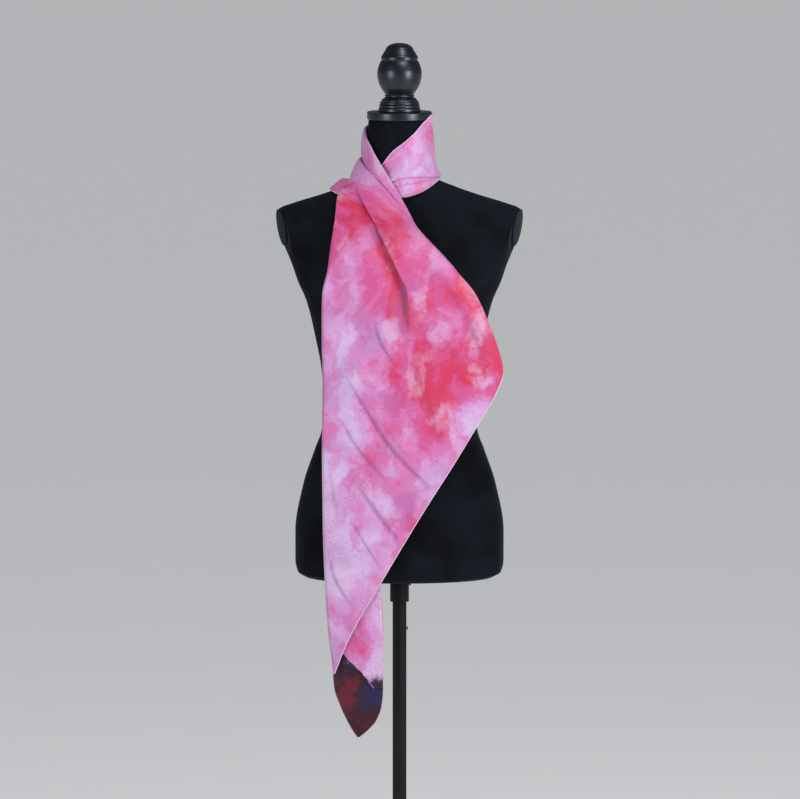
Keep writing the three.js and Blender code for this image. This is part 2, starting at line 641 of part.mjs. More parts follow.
// Dress form
addPiece('form_body', makeFormBody(), velvet);
addPiece('arm_plate_left', makeArmPlate(-1), velvet);
addPiece('arm_plate_right', makeArmPlate(1), velvet);
addPiece('neck_cap', disc(CAP_RADIUS, NECK_TOP + SEAM, NECK_TOP + SEAM + CAP_THICK, 40), satinBlack);
const finialBottom = NECK_TOP + CAP_THICK + 2 * SEAM;
const finialTop = FINIAL_PROFILE[FINIAL_PROFILE.length - 1].up + 1;
addPiece('finial', turned([
  [0, finialBottom],
  ...FINIAL_PROFILE.map(({ radius, up }) => [radius, finialBottom + up]),
  [0, finialBottom + finialTop],
], 24), satinBlack);

// Scarf, one piece for each stretch that shows
addPiece('scarf_front', makeFront(), silk);
addPiece('scarf_return', makeReturn(), silk);
addPiece('scarf_inner', clothWall(layerRows(LAYERS.inner, INNER_EDGES)), silk);
addPiece('scarf_back', clothWall(layerRows(LAYERS.back, BACK_EDGES)), darkSilk);
addPiece('scarf_collar', clothWall(bandRows(COLLAR_RIBS, 12, 7, collarRipple)), silk);
addPiece('scarf_lower_fold', clothWall(bandRows(LOWER_FOLD_RIBS, 12, 5, lowerRipple)), silk);
addPiece('scarf_end', clothWall(neckRows({ columns: 3, folds: [] }, SHOULDER_RIBS, 2, 1, 3)), silk);

export default model;
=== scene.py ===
# %% [markdown]
# A silk square scarf, wound once round the neck of a limbless dress form on a pole stand.
#
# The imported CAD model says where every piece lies, and it stays as it is. Each of its nodes is then stood
# for by a finer piece in the same place. All sizes are millimetres until a mesh is made, because a maker
# measures cloth and turned wood that way.

import math
from types import SimpleNamespace

import bpy
import numpy as np
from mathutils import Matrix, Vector


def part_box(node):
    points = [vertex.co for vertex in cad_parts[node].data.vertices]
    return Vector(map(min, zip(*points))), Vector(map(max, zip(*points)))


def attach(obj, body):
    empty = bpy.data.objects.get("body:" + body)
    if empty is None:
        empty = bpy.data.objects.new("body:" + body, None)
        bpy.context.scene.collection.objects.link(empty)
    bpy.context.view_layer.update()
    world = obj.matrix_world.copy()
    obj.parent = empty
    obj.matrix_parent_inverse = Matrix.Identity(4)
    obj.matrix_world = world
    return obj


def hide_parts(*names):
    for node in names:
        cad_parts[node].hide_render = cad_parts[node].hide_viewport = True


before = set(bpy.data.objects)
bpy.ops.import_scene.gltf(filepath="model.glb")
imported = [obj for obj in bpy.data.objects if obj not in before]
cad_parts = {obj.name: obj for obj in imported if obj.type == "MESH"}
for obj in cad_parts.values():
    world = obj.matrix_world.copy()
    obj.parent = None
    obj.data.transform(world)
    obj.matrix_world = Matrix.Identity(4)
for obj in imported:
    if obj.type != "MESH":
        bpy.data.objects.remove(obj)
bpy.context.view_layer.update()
print("CAD nodes:", len(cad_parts))

# %% [markdown]
# A few measured sections describe draped cloth and a padded form well. A spline could swing past them and
# make bumps that were never measured, so the curves here are monotone: between two sections a value never
# leaves the range of the two.

# %% Curves through measured tables
MM = 0.001


def ease(start, end, value):
    """0 before start and 1 after end, and 3t² - 2t³ between, where t is the share of the way."""
    t = np.clip((np.asarray(value, float) - start) / (end - start), 0, 1)
    return t * t * (3 - 2 * t)


def bell(offset, spread):
    """exp(-(offset / spread)²): 1 in the middle, and nearly 0 two spreads away."""
    return np.exp(-((offset / spread) ** 2))


def smooth_curve(places, values):
    """A cubic between neighbouring places, whose slope at each place is the harmonic mean of the two
    slopes beside it, or 0 where they point different ways."""
    places = np.asarray(places, float)
    values = np.asarray(values, float)
    slopes = np.diff(values) / np.diff(places)
    product = slopes[:-1] * slopes[1:]
    total = np.where(product > 0, slopes[:-1] + slopes[1:], 1)
    inner = np.where(product > 0, 2 * product / total, 0)
    tangents = np.concatenate([slopes[:1], inner, slopes[-1:]])

    def curve(at):
        at = np.asarray(at, float)
        i = np.clip(np.searchsorted(places, at) - 1, 0, len(places) - 2)
        width = places[i + 1] - places[i]
        t = np.clip((at - places[i]) / width, 0, 1)
        rise = t * t * (3 - 2 * t)
        bend = tangents[i] * (1 - t) - tangents[i + 1] * t
        return values[i] * (1 - rise) + values[i + 1] * rise + width * t * (1 - t) * bend

    return curve


def table(columns, *rows):
    """One smooth curve over the first column for each other column, by its name."""
    names = columns.split()
    values = np.array(rows, float).T
    curves = {name: smooth_curve(values[0], column) for name, column in zip(names, values)}
    return SimpleNamespace(places=values[0], **curves)


def lengths(vectors):
    """The length of each vector."""
    return np.linalg.norm(vectors, axis=-1)


def length_along(points, axis=0):
    """Distance from the first point to each, along a line or along one axis of a grid."""
    steps = lengths(np.diff(points, axis=axis))
    return np.cumsum(np.concatenate([0 * np.take(steps, [0], axis), steps], axis), axis)


# %% [markdown]
# Every piece is a grid of points: rows along it and columns across it. The helper turns a grid into a
# mesh in one go. Cloth also gets a UV map in metres of the flat cut, so that its print and weave follow
# the cloth round each fold, as they do on real silk.

# %% Grids into meshes
def unit(vectors):
    """Vectors of length 1 that point the same way."""
    return vectors / np.maximum(lengths(vectors), 1e-9)[..., None]


def in_scene(name, data):
    """A new object in the scene for a mesh, a light or a camera."""
    made = bpy.data.objects.new(name, data)
    bpy.context.scene.collection.objects.link(made)
    return made


def grid_piece(name, grid, uv=None, wrap=False, caps=False, loop=False, sharp=None):
    """A mesh whose quads join (r, c), (r, c + 1), (r + 1, c + 1) and (r + 1, c).

    wrap joins the last column to the first, loop the last row to the first, and caps closes both ends."""
    rows, columns, _ = grid.shape
    number = np.arange(rows * columns).reshape(rows, columns)
    ends = [number[0, ::-1].tolist(), number[-1].tolist()] if caps else []
    if wrap:
        number = np.hstack([number, number[:, :1]])
    if loop:
        number = np.vstack([number, number[:1]])
    corners = [number[:-1, :-1], number[:-1, 1:], number[1:, 1:], number[1:, :-1]]
    mesh = bpy.data.meshes.new(name)
    quads = np.stack(corners, -1).reshape(-1, 4).tolist()
    mesh.from_pydata((grid.reshape(-1, 3) * MM).tolist(), [], quads + ends)
    mesh.shade_smooth()
    if sharp:
        mesh.set_sharp_from_angle(angle=math.radians(sharp))
    if uv is not None:
        vertex = np.empty(len(mesh.loops), int)
        mesh.loops.foreach_get("vertex_index", vertex)
        cut = mesh.uv_layers.new(name="Cut")
        cut.data.foreach_set("uv", (uv.reshape(-1, 2)[vertex] * MM).ravel())
    print(name, len(mesh.polygons), "faces")
    return in_scene(name, mesh)


def place(piece, material, slot, body, *nodes):
    """Gives a piece its finish and its body, and hides the CAD nodes that it stands for."""
    piece.data.materials.append(material)
    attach(piece, body)
    if nodes:
        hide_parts(*nodes)
    return piece


# %% [markdown]
# Materials are built from small node groups that several finishes share. A group gives out only colours,
# masks and heights. The shader itself stays in each material, with its plain numbers set on its sockets.

# %% Node helpers
def srgb(red, green, blue):
    """A screen colour of 0 to 255 as the linear colour that shaders use."""
    share = np.array([red, green, blue]) / 255
    linear = np.where(share <= 0.04045, share / 12.92, ((share + 0.055) / 1.055) ** 2.4)
    return (*linear, 1.0)


def lead(value, socket):
    """Links a node's output to a socket of the same tree."""
    socket.id_data.links.new(value, socket)


def add(kind, inputs, **settings):
    """A new node in the tree of the outputs that lead into it. Its other inputs are plain values."""
    linked = {name: value for name, value in inputs.items() if isinstance(value, bpy.types.NodeSocket)}
    node = next(iter(linked.values())).id_data.nodes.new("ShaderNode" + kind)
    for name, value in settings.items():
        setattr(node, name, value)
    for name, value in inputs.items():
        if name in linked:
            lead(value, node.inputs[name])
        else:
            node.inputs[name].default_value = value
    return node


def maths(operation, first, second=0.0):
    """The result of one Math node."""
    return add("Math", {0: first, 1: second}, operation=operation).outputs[0]


def vector_maths(operation, first, second):
    """The result of one Vector Math node, whose scale has a socket of its own."""
    inputs = {0: first, 3 if operation == "SCALE" else 1: second}
    return add("VectorMath", inputs, operation=operation).outputs[0]


def soft_range(value, start, end, low=0.0, high=1.0):
    """low before start, high after end and an S curve between."""
    inputs = {"Value": value, "From Min": start, "From Max": end, "To Min": low, "To Max": high}
    return add("MapRange", inputs, interpolation_type="SMOOTHSTEP").outputs[0]


def noise(vector, scale, detail=2.0, roughness=0.5, distortion=0.0):
    """The 0 to 1 value of a noise texture whose features measure about 1 / scale metres."""
    inputs = dict(Vector=vector, Scale=scale, Detail=detail, Roughness=roughness, Distortion=distortion)
    return add("TexNoise", inputs).outputs[0]


def mix(factor, first, second):
    """Two colours mixed by a factor."""
    return add("Mix", {0: factor, 6: first, 7: second}, data_type="RGBA").outputs[2]


def ramp(value, *stops):
    """A colour for each value between the stops, each a place and a screen colour."""
    node = add("ValToRGB", {0: value})
    node.color_ramp.interpolation = "EASE"
    elements = node.color_ramp.elements
    while len(elements) < len(stops):
        elements.new(1.0)
    for element, (position, colour) in zip(elements, stops):
        element.position = position
        element.color = srgb(*colour)
    return node.outputs[0]


VECTOR, FLOAT, COLOUR = "NodeSocketVector", "NodeSocketFloat", "NodeSocketColor"


def new_group(name, inputs, outputs):
    """An empty node group. An input is a float or a vector by its default, and None is a linked vector."""
    tree = bpy.data.node_groups.new(name, "ShaderNodeTree")
    for label, value in inputs.items():
        kind = FLOAT if isinstance(value, float) else VECTOR
        socket = tree.interface.new_socket(label, in_out="INPUT", socket_type=kind)
        if value is not None:
            socket.default_value = value
    for label, kind in outputs.items():
        tree.interface.new_socket(label, in_out="OUTPUT", socket_type=kind)
    return tree, tree.nodes.new("NodeGroupInput").outputs, tree.nodes.new("NodeGroupOutput").inputs


def use_group(group, **inputs):
    """The outputs of a group placed in a material."""
    named = {name.capitalize(): value for name, value in inputs.items()}
    return add("Group", named, node_tree=group).outputs


# %% [markdown]
# The print is a plain watercolour wash of pinks, made of noise alone. Wet paint pools in large soft
# patches, dries with a darker rim, and is pushed aside in pale blooms by drops of water: each is a layer
# here. Noise that bends the coordinates first tears the patches' edges. Depth turns the wash to wine and
# plum, for the darker corner of the square. That corner is made darker still by painted shade where it
# hangs below the form.

# %% The wash group
def make_wash():
    """Patches by pigment, then veils, blooms, dry rims, grain and the dark corner (partly painted shade), all
    from noise.
    """
    inputs = dict(Vector=None, Shift=(0.0, 0.0, 0.0), Paler=0.0, Depth=0.0)
    tree, given, result = new_group("Painted wash", inputs, {"Colour": COLOUR, "Pigment": FLOAT})
    at = vector_maths("ADD", given["Vector"], given["Shift"])
    bend = add("TexNoise", dict(Vector=at, Scale=14.0, Detail=5.0, Roughness=0.62))
    centred = vector_maths("SUBTRACT", bend.outputs[1], (0.5, 0.5, 0.5))
    bent = vector_maths("ADD", at, vector_maths("SCALE", centred, 0.07))
    stretched = vector_maths("MULTIPLY", bent, (1.0, 0.55, 1.0))

    large = noise(stretched, 7.5, 1.5)
    medium = noise(stretched, 24.0, 6.0, 0.62)
    tone = maths("ADD", maths("MULTIPLY", large, 0.6), maths("MULTIPLY", medium, 0.4))
    tone = maths("SUBTRACT", tone, given["Paler"])
    colour = ramp(
        tone,
        (0.37, (206, 178, 218)), (0.43, (206, 149, 203)), (0.49, (208, 116, 176)),
        (0.55, (206, 82, 140)), (0.61, (206, 44, 82)),
    )
    # Wine and plum of the dark corner: its darker print, deepened by painted shade where it hangs below the
    # form.
    dark = ramp(
        noise(bent, 15.0, 4.0, 0.6),
        (0.4, (34, 20, 78)), (0.49, (36, 14, 54)), (0.54, (50, 4, 25)), (0.64, (96, 9, 35)),
    )
    veil = soft_range(noise(bent, 11.0, 3.0), 0.5, 0.72, 0.0, 0.5)
    bloom = soft_range(noise(stretched, 27.0, 4.0, 0.5), 0.5, 0.74, 0.0, 0.6)
    from_edge = maths("ABSOLUTE", maths("SUBTRACT", medium, 0.53))
    rim = soft_range(from_edge, 0.0, 0.035, 0.16, 0.0)
    grain = soft_range(noise(at, 330.0, 3.0, 0.7), 0.44, 0.66)
    grainy = soft_range(noise(at, 13.0, 2.0), 0.45, 0.65, 0.1, 0.55)
    ragged = maths("MULTIPLY", maths("SUBTRACT", medium, 0.5), 1.1)
    reach = maths("ADD", given["Depth"], ragged)
    for mask, paint in (
        (veil, srgb(164, 112, 170)), (bloom, srgb(220, 188, 224)), (rim, srgb(184, 56, 122)),
        (maths("MULTIPLY", grain, grainy), srgb(186, 82, 142)),
        (soft_range(reach, 0.38, 0.62), dark),
    ):
        colour = mix(mask, colour, paint)
    lead(colour, result["Colour"])
    lead(tone, result["Pigment"])
    return tree


wash = make_wash()
print("wash group:", len(wash.nodes), "nodes")

# %% [markdown]
# Silk threads are far finer than a pixel, so the weave, two crossed waves, only breaks up the shine.
# Velvet shows soft cloudy patches, because its pile leans this way and that, and a fine nap. Lacquer and
# paint vary slowly, with a few rubbed spots.

# %% Weave, nap and rubbing groups
def make_weave():
    tree, given, result = new_group("Silk weave", dict(Vector=None, Threads=1400.0), {"Height": FLOAT})
    scaled = vector_maths("SCALE", given["Vector"], given["Threads"])
    parts = add("SeparateXYZ", {0: scaled}).outputs
    warp, weft = (maths("SINE", maths("MULTIPLY", parts[i], math.tau)) for i in range(2))
    lead(maths("ADD", maths("MULTIPLY", warp, weft), 0.5), result["Height"])
    return tree


def make_nap():
    inputs = dict(Vector=None, Patch=14.0, Pile=900.0)
    tree, given, result = new_group("Velvet nap", inputs, {"Lean": FLOAT, "Height": FLOAT})
    lead(noise(given["Vector"], given["Patch"], 3.0, 0.55, 0.4), result["Lean"])
    lead(noise(given["Vector"], given["Pile"], 2.0, 0.6), result["Height"])
    return tree


def make_rubbing():
    inputs = dict(Vector=None, Scale=30.0, Amount=0.3)
    tree, given, result = new_group("Rubbed finish", inputs, {"Rubbed": FLOAT, "Height": FLOAT})
    patches = soft_range(noise(given["Vector"], given["Scale"], 5.0, 0.6), 0.45, 0.75)
    lead(maths("MULTIPLY", patches, given["Amount"]), result["Rubbed"])
    fine = maths("MULTIPLY", given["Scale"], 9.0)
    lead(noise(given["Vector"], fine, 3.0), result["Height"])
    return tree


weave, nap, rubbing = make_weave(), make_nap(), make_rubbing()


# %% [markdown]
# Each finish is one Principled shader. Silk has a soft broad shine, so it is fairly rough with a little
# sheen. Velvet is very dark and rough, and its sheen lights only faces seen edge-on. The turned wood has a
# satin lacquer, and the stand a powder coat.

# %% Materials
def new_material(name, coordinate="Object", **values):
    """A material, its Principled shader with plain values on its own sockets, and its coordinates."""
    material = bpy.data.materials.new(name)
    material.use_nodes = True
    tree = material.node_tree
    shader = tree.nodes["Principled BSDF"]
    for label, value in values.items():
        shader.inputs[label.replace("_", " ")].default_value = value
    return material, shader, tree.nodes.new("ShaderNodeTexCoord").outputs[coordinate]


def wire(shader, colour, height, strength, distance, roughness=None):
    """Leads a colour, small relief as deep as distance in metres, and a roughness into a shader."""
    relief = add("Bump", dict(Height=height, Strength=strength, Distance=distance))
    lead(colour, shader.inputs["Base Color"])
    lead(relief.outputs[0], shader.inputs["Normal"])
    if roughness is not None:
        lead(roughness, shader.inputs["Roughness"])


def silk_material(name, shift, paler=0.0, deep_below=None, fading=False, sheen=0.25):
    """Washed silk. Below the height given for the dark corner, in metres of the cut, the wash turns dark:
    its darker print, deepened by painted shade where the corner hangs below the form. A fading wash
    is richest over the chest and thins out towards the neck and the low end."""
    material, shader, at = new_material(
        name, "UV", Sheen_Weight=sheen, Sheen_Roughness=0.4, Specular_IOR_Level=0.42
    )
    height = add("SeparateXYZ", {0: at}).outputs[1]
    depth = 0.0
    if deep_below is not None:
        depth = soft_range(height, deep_below + 0.09, deep_below - 0.03)
    if fading:
        low_end = soft_range(height, 0.72, 1.12, 0.06, -0.07)
        neck_end = soft_range(height, 1.19, 1.3, 0.0, 0.09)
        paler = maths("ADD", low_end, neck_end)
    painted = use_group(wash, vector=at, shift=(*shift, 0.0), paler=paler, depth=depth)
    roughness = soft_range(painted["Pigment"], 0.35, 0.65, 0.4, 0.5)
    threads = use_group(weave, vector=at)["Height"]
    wire(shader, painted["Colour"], threads, 0.12, 0.0001, roughness)
    return material


def hem_material(name, tone, share):
    """A rolled hem's tone laid over the wash by a share, because the dye hardly reaches into the roll. A pale
    tone is also a painted highlight along the roll, and a plum one painted shade.
    """
    material, shader, at = new_material(name, Roughness=0.5, Sheen_Weight=0.3)
    painted = use_group(wash, vector=at, shift=(0.4, 0.2, 0.0))
    colour = mix(share, painted["Colour"], srgb(*tone))
    wire(shader, colour, noise(at, 700.0, 2.0), 0.4, 0.0002)
    return material


def thread_material(name, dark, light):
    """Matt sewing thread, with the twist of its strands as fine waves."""
    material, shader, at = new_material(name, Roughness=0.7, Sheen_Weight=0.2)
    strands = noise(at, 900.0, 2.0)
    wire(shader, ramp(strands, (0.3, dark), (0.7, light)), strands, 0.4, 0.0001)
    return material


def velvet_material(name, dark, light):
    """Deep black pile whose tone drifts with the way it leans, and whose sheen shows at the rims."""
    material, shader, at = new_material(
        name, Roughness=0.95, Specular_IOR_Level=0.08, Sheen_Weight=0.2, Sheen_Roughness=0.28,
        Sheen_Tint=srgb(150, 168, 192),
    )
    pile = use_group(nap, vector=at)
    wire(shader, ramp(pile["Lean"], (0.3, dark), (0.7, light)), pile["Height"], 0.5, 0.0004)
    return material


def rubbed_material(name, dark, light, rough, scale, amount, relief=0.08, **values):
    """A hard finish whose colour and roughness drift between two states with light handling."""
    material, shader, at = new_material(name, **values)
    worn = use_group(rubbing, vector=at, scale=scale, amount=amount)
    colour = mix(worn["Rubbed"], srgb(*dark), srgb(*light))
    roughness = soft_range(worn["Rubbed"], 0.0, 1.0, *rough)
    wire(shader, colour, worn["Height"], relief, 0.0002, roughness)
    return material


velvet = velvet_material("black_velvet", (11, 13, 17), (20, 24, 31))
# The arm plates wear a lighter copy of the velvet: painted sheen where their faces catch the light.
plate_velvet_painted_sheen = velvet_material("plate_velvet_painted_sheen", (20, 24, 31), (28, 33, 41))
# The pale hem is partly the roll's lighter dye and partly a painted highlight along the edge.
rolled_hem_and_highlight = hem_material("rolled_hem_and_highlight", (244, 226, 240), 0.6)
mauve_hem = hem_material("mauve_hem", (164, 104, 154), 0.8)
# The corner's hem darkens with it: partly its plum dye, partly painted shade.
plum_hem_and_shade = hem_material("plum_hem_and_shade", (62, 32, 50), 0.88)
mauve_thread = thread_material("mauve_thread", (132, 70, 142), (168, 98, 170))
lacquer = rubbed_material(
    "black_satin_lacquer", (3, 4, 7), (8, 10, 15), (0.36, 0.44), 22.0, 0.6, relief=0.02,
    Specular_IOR_Level=0.75, Specular_Tint=srgb(226, 236, 255),
)
powder_coat = rubbed_material(
    "black_powder_coat", (12, 13, 15), (26, 27, 30), (0.55, 0.7), 35.0, 0.5, Specular_IOR_Level=0.22
)
dull_steel = rubbed_material(
    "dull_steel", (88, 90, 94), (140, 142, 146), (0.3, 0.5), 160.0, 0.8, Metallic=1.0
)

# %% [markdown]
# The stand, the neck cap and the finial are turned: a profile carried round the axis. A lathe leaves no
# edge quite sharp, so each corner of a profile is replaced by a short curve. The finial's beads and grooves
# come from a table of their own.

# %% Turned shapes
def rounded(corners, radius, steps=5):
    """A closed or open profile with each corner cut back by radius and bridged by the curve
    (1 - t)²·before + 2t(1 - t)·corner + t²·after."""
    corners = np.asarray(corners, float)
    middle = corners[1:-1]
    before = middle + unit(corners[:-2] - middle) * radius
    after = middle + unit(corners[2:] - middle) * radius
    t = np.linspace(0, 1, steps)[None, :, None]
    curve = (1 - t) ** 2 * before[:, None] + 2 * t * (1 - t) * middle[:, None] + t**2 * after[:, None]
    return np.vstack([corners[:1], curve.reshape(-1, 2), corners[-1:]])


def turned(profile, sides=96):
    """x = r·cos a, y = r·sin a and z = h, for each r and h of the profile and each angle a."""
    radius, height = np.asarray(profile, float).T[:, :, None]
    angle = np.linspace(0, math.tau, sides, endpoint=False)
    return np.stack([radius * np.cos(angle), radius * np.sin(angle), height + 0 * angle], -1)


def span(node, axis=2):
    """The lowest and highest place of a CAD node along an axis, in millimetres."""
    low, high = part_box(node)
    return low[axis] / MM, high[axis] / MM


# %% Base, pole, collar and neck cap
# EYE is the radius at which a turned end is closed, and POLE_GAP the room between the pole and a sleeve.
EYE, POLE_GAP = 0.05, 0.3
CAP_RADIUS = span("neck_cap", 0)[1]


def bar(radius, low, high, rim, sides):
    """A round bar or plate from low to high."""
    return turned(rounded([(EYE, low), (radius, low), (radius, high), (EYE, high)], rim), sides)


def disc(node, rim, sides):
    """A bar with a CAD node's radius and height."""
    return bar(span(node, 0)[1], *span(node), rim, sides)


def sleeve(node, rim, sides):
    """A tube round the pole over a CAD node's height."""
    low, high = span(node)
    inner, outer = span("pole", 0)[1] + POLE_GAP, span(node, 0)[1]
    corners = [(inner, low), (outer, low), (outer, high), (inner, high)]
    return turned(rounded([corners[-1], *corners, corners[0]], rim)[1:-1], sides)


def side_pin(node, rim, sides):
    """A short pin with a domed end, turned about the pole and laid over: x = z, z = height - x."""
    low, high = span(node)
    upright = bar((high - low) / 2, *span(node, 0), rim, sides)
    return np.stack([upright[..., 2], upright[..., 1], (low + high) / 2 - upright[..., 0]], -1)


for name, node, shape, rim, sides, finish, slot, rides_on in (
    ("base_disc", "base_plate", disc, 1.6, 160, powder_coat, "painted_steel", "stand"),
    ("floor_socket", "base_socket", sleeve, 0.8, 96, powder_coat, "painted_steel", "stand"),
    ("height_collar", "clamp_collar", sleeve, 0.9, 96, powder_coat, "painted_steel", "dressed_form"),
    ("pole_tube", "pole", disc, 1.0, 64, powder_coat, "painted_steel", "stand"),
    ("catch_button", "snap_button", side_pin, 0.7, 32, dull_steel, "bright_steel", "stand"),
    ("collar_screw", "clamp_screw", side_pin, 0.9, 32, powder_coat, "painted_steel", "dressed_form"),
    ("neck_disc", "neck_cap", disc, 1.4, 128, lacquer, "black_satin", "dressed_form"),
):
    tube = shape is sleeve
    piece = grid_piece(name, shape(node, rim, sides), wrap=True, caps=not tube, loop=tube, sharp=50)
    place(piece, finish, slot, rides_on, node)


# %% Finial
FINIAL = np.array([
    (32.7, 0), (33.1, 1.4), (32.9, 4.8), (32.2, 6), (31.3, 6.6), (31.9, 7.6), (31.9, 9.6), (31.2, 10.9),
    (30.2, 11.5), (30.9, 12.5), (30.6, 14.6), (29.6, 15.7), (28.5, 16.2), (28.5, 17.2), (27, 19.2),
    (24.6, 21.2), (22.8, 22.4), (22.2, 22.9), (23.2, 23.8), (23.3, 25), (22.4, 25.9), (22.2, 26.5),
    (22.8, 27.7), (24.3, 29.8), (26.8, 33.4), (28.9, 36.5), (30.4, 39.7), (31.9, 42.9), (33, 46),
    (33.8, 49.2), (34.5, 52.3), (34.9, 55.5), (35.1, 59.2), (34.9, 62.7), (34.5, 65.7), (33.6, 69),
    (32.6, 72.2), (31.2, 75.7), (29.8, 78.4), (28.3, 80.4), (28.1, 81.1), (28.8, 82.4), (28.9, 84.8),
    (28.5, 86.8), (27.3, 88.6), (26.4, 89.5), (25.2, 92.2), (23, 95.4), (22.1, 97), (21.2, 99.2),
    (19.4, 101.6), (16, 104.2), (12, 106), (7, 107.2), (3, 107.5), (EYE, 107.6),
])
steps_along = length_along(FINIAL)
along = np.unique(np.concatenate([np.linspace(0, steps_along[-1], 170), steps_along]))
profile = np.stack([smooth_curve(steps_along, column)(along) for column in FINIAL.T], -1)
profile = np.vstack([[EYE, 0], profile]) + [0, span("finial")[0]]
finial = grid_piece("turned_finial", turned(profile, 112), wrap=True, caps=True, sharp=60)
place(finial, lacquer, "black_satin", "dressed_form", "finial")

# %% [markdown]
# The form is a padded body cut off at the neck, arms and hips. Each level section is a superellipse: a
# power of 2 is an ellipse, more is boxier and less is pointed, as at the shoulders, where the back and the
# chest meet in a soft ridge. The bust is a round swelling on the front. The velvet is sewn together down
# both sides and the middle of the back, which leaves a fine groove.

# %% The dress form's shape
form = table(
    "height half front back power",
    (700, 150, 97, 103, 2.2), (707, 161, 107, 113, 2.2), (726, 165, 109, 118, 2.2), (771, 165, 108, 120, 2.2),
    (847, 152, 97, 109, 2.2), (901, 134, 88, 94, 2.2), (933, 123, 84, 84, 2.2), (979, 120, 83, 80, 2.2),
    (1027, 123, 86, 82, 2.2), (1076, 132, 94, 88, 2.2), (1135, 146, 102, 96, 2.2), (1170, 161, 106, 102, 2.2),
    (1200, 172.5, 103, 106, 2.2), (1222, 184, 98, 108, 2.2), (1240, 198, 90, 107, 2.2),
    (1262, 203, 76, 102, 2.1), (1280, 196, 64, 94, 1.9), (1292, 166, 57, 86, 1.7), (1305, 124, 53, 78, 1.5),
    (1318, 87, 51, 69, 1.5), (1330, 60, 50, 61, 1.8), (1345, 53, 49.5, 55, 2), (1365, 50, 49, 51, 2),
    (1423.2, 49, 49, 49, 2),
)
FORM_BOTTOM, NECK_TOP = form.places[0], form.places[-1]
BORE_RADIUS, BORE_TOP = 12.0, 1112.0
BUST_ACROSS, BUST_HEIGHT, BUST_RISE = 76.0, 1168.0, 30.0
BUST_SPREAD_ACROSS, BUST_SPREAD_UP = 40.0, 42.0
ARM_HEIGHT, ARM_OUT, ARM_LEAN, ARM_TURN = 1253.0, 183.5, 0.15, 0.2
# Heights between which the arm's cut comes in, moves to its place and gets its sharp edge.
CUT_BEGINS, CUT_MOVES_IN, CUT_SHARPENS = (1160, 1190), (1176, 1216), (1190, 1226)
CUT_WIDER, CUT_SOFT, CUT_SHARP = 14, 6, 1.5


def bust_rise(x, z):
    """The swelling's height: rise · bell(|x| - across) · bell(z - height)."""
    across = bell(np.abs(x) - BUST_ACROSS, BUST_SPREAD_ACROSS)
    return BUST_RISE * across * bell(z - BUST_HEIGHT, BUST_SPREAD_UP)


def form_depth(x, z):
    """How far the form's front lies before the axis: front · (1 - |x / half|^power)^(1 / power) + bust."""
    inside = np.maximum(1 - np.abs(x / form.half(z)) ** form.power(z), 0)
    return form.front(z) * inside ** (1 / form.power(z)) + bust_rise(x, z) * np.sqrt(inside)


def form_radius(angle, z):
    """Distance from the axis to the form, by the angle from the front towards the right:
    (|sin a / half|^power + |cos a / depth|^power)^(-1 / power)."""
    depth = np.where(np.cos(angle) > 0, form.front(z), form.back(z))
    power = form.power(z)
    total = np.abs(np.sin(angle) / form.half(z)) ** power + np.abs(np.cos(angle) / depth) ** power
    return total ** (-1 / power)


def form_section(angle, z):
    """Points of a level section, where cos a and sin a raised to 2 / power give the superellipse. The arm
    is cut off by the soft smaller of width and reach: (w + r - √((w - r)² + soften²)) / 2."""
    power = 2 / form.power(z)
    across = np.sign(np.cos(angle)) * np.abs(np.cos(angle)) ** power
    ahead = np.sign(np.sin(angle)) * np.abs(np.sin(angle)) ** power
    wide = form.half(z) * across
    depth = ahead * np.where(ahead > 0, form.front(z), form.back(z))
    reach = ARM_OUT + ARM_LEAN * (z - ARM_HEIGHT) - ARM_TURN * depth
    reach = reach + CUT_WIDER * (1 - ease(*CUT_MOVES_IN, z))
    soften = CUT_SHARP + CUT_SOFT * (1 - ease(*CUT_SHARPENS, z))
    cut = np.sign(wide) * (np.abs(wide) + reach - np.hypot(np.abs(wide) - reach, soften)) / 2
    x = wide + (cut - wide) * ease(*CUT_BEGINS, z)
    depth = depth + np.where(ahead > 0, bust_rise(wide, z) * np.sqrt(np.maximum(ahead, 0)), 0)
    return np.stack([x, -depth, z + 0 * x], -1)


# %% The velvet-covered body
SEAM_ANGLES = np.radians([0, 180, 270])
SEAM_WIDTH, SEAM_DEPTH = 0.010, 0.9


def velvet_body():
    """The form's sections with a groove along each seam, and the bore below and the neck's top above."""
    around = np.linspace(0, math.tau, 168, endpoint=False)
    beside = np.array([-0.024, -0.016, -0.01, -0.005, 0.005, 0.01, 0.016, 0.024])
    extra = (SEAM_ANGLES[:, None] + beside).ravel() % math.tau
    angle = np.unique(np.round(np.concatenate([around, extra]), 6))[None, :]
    # The rows lie closer together at the hem and where the shoulders run into the neck.
    low_rows = FORM_BOTTOM + 30 * np.linspace(0, 1, 12) ** 1.5
    heights = [low_rows, np.arange(736, 1284, 6), np.arange(1286, 1350, 2.5), np.arange(1352, 1421, 6)]
    z = np.concatenate(heights)[:, None]
    skin = form_section(angle, z)
    gap = np.abs((angle[..., None] - SEAM_ANGLES + math.pi) % math.tau - math.pi).min(-1)
    groove = SEAM_DEPTH * bell(gap, SEAM_WIDTH) * ease(702, 716, z)
    skin[..., :2] *= 1 - (groove / lengths(skin[..., :2]))[..., None]

    def circle(radius, height):
        return np.stack([radius * np.cos(angle), -radius * np.sin(angle), height + 0 * angle], -1)

    bottom = [circle(BORE_RADIUS, BORE_TOP), circle(BORE_RADIUS, FORM_BOTTOM)]
    neck = [circle(48.6, NECK_TOP - 0.8), circle(47.6, NECK_TOP), circle(20.0, NECK_TOP)]
    return np.concatenate([*bottom, skin, *neck])


body = grid_piece("velvet_body", velvet_body(), wrap=True, caps=True, sharp=60)
place(body, velvet, "velvet", "dressed_form", "form_body")


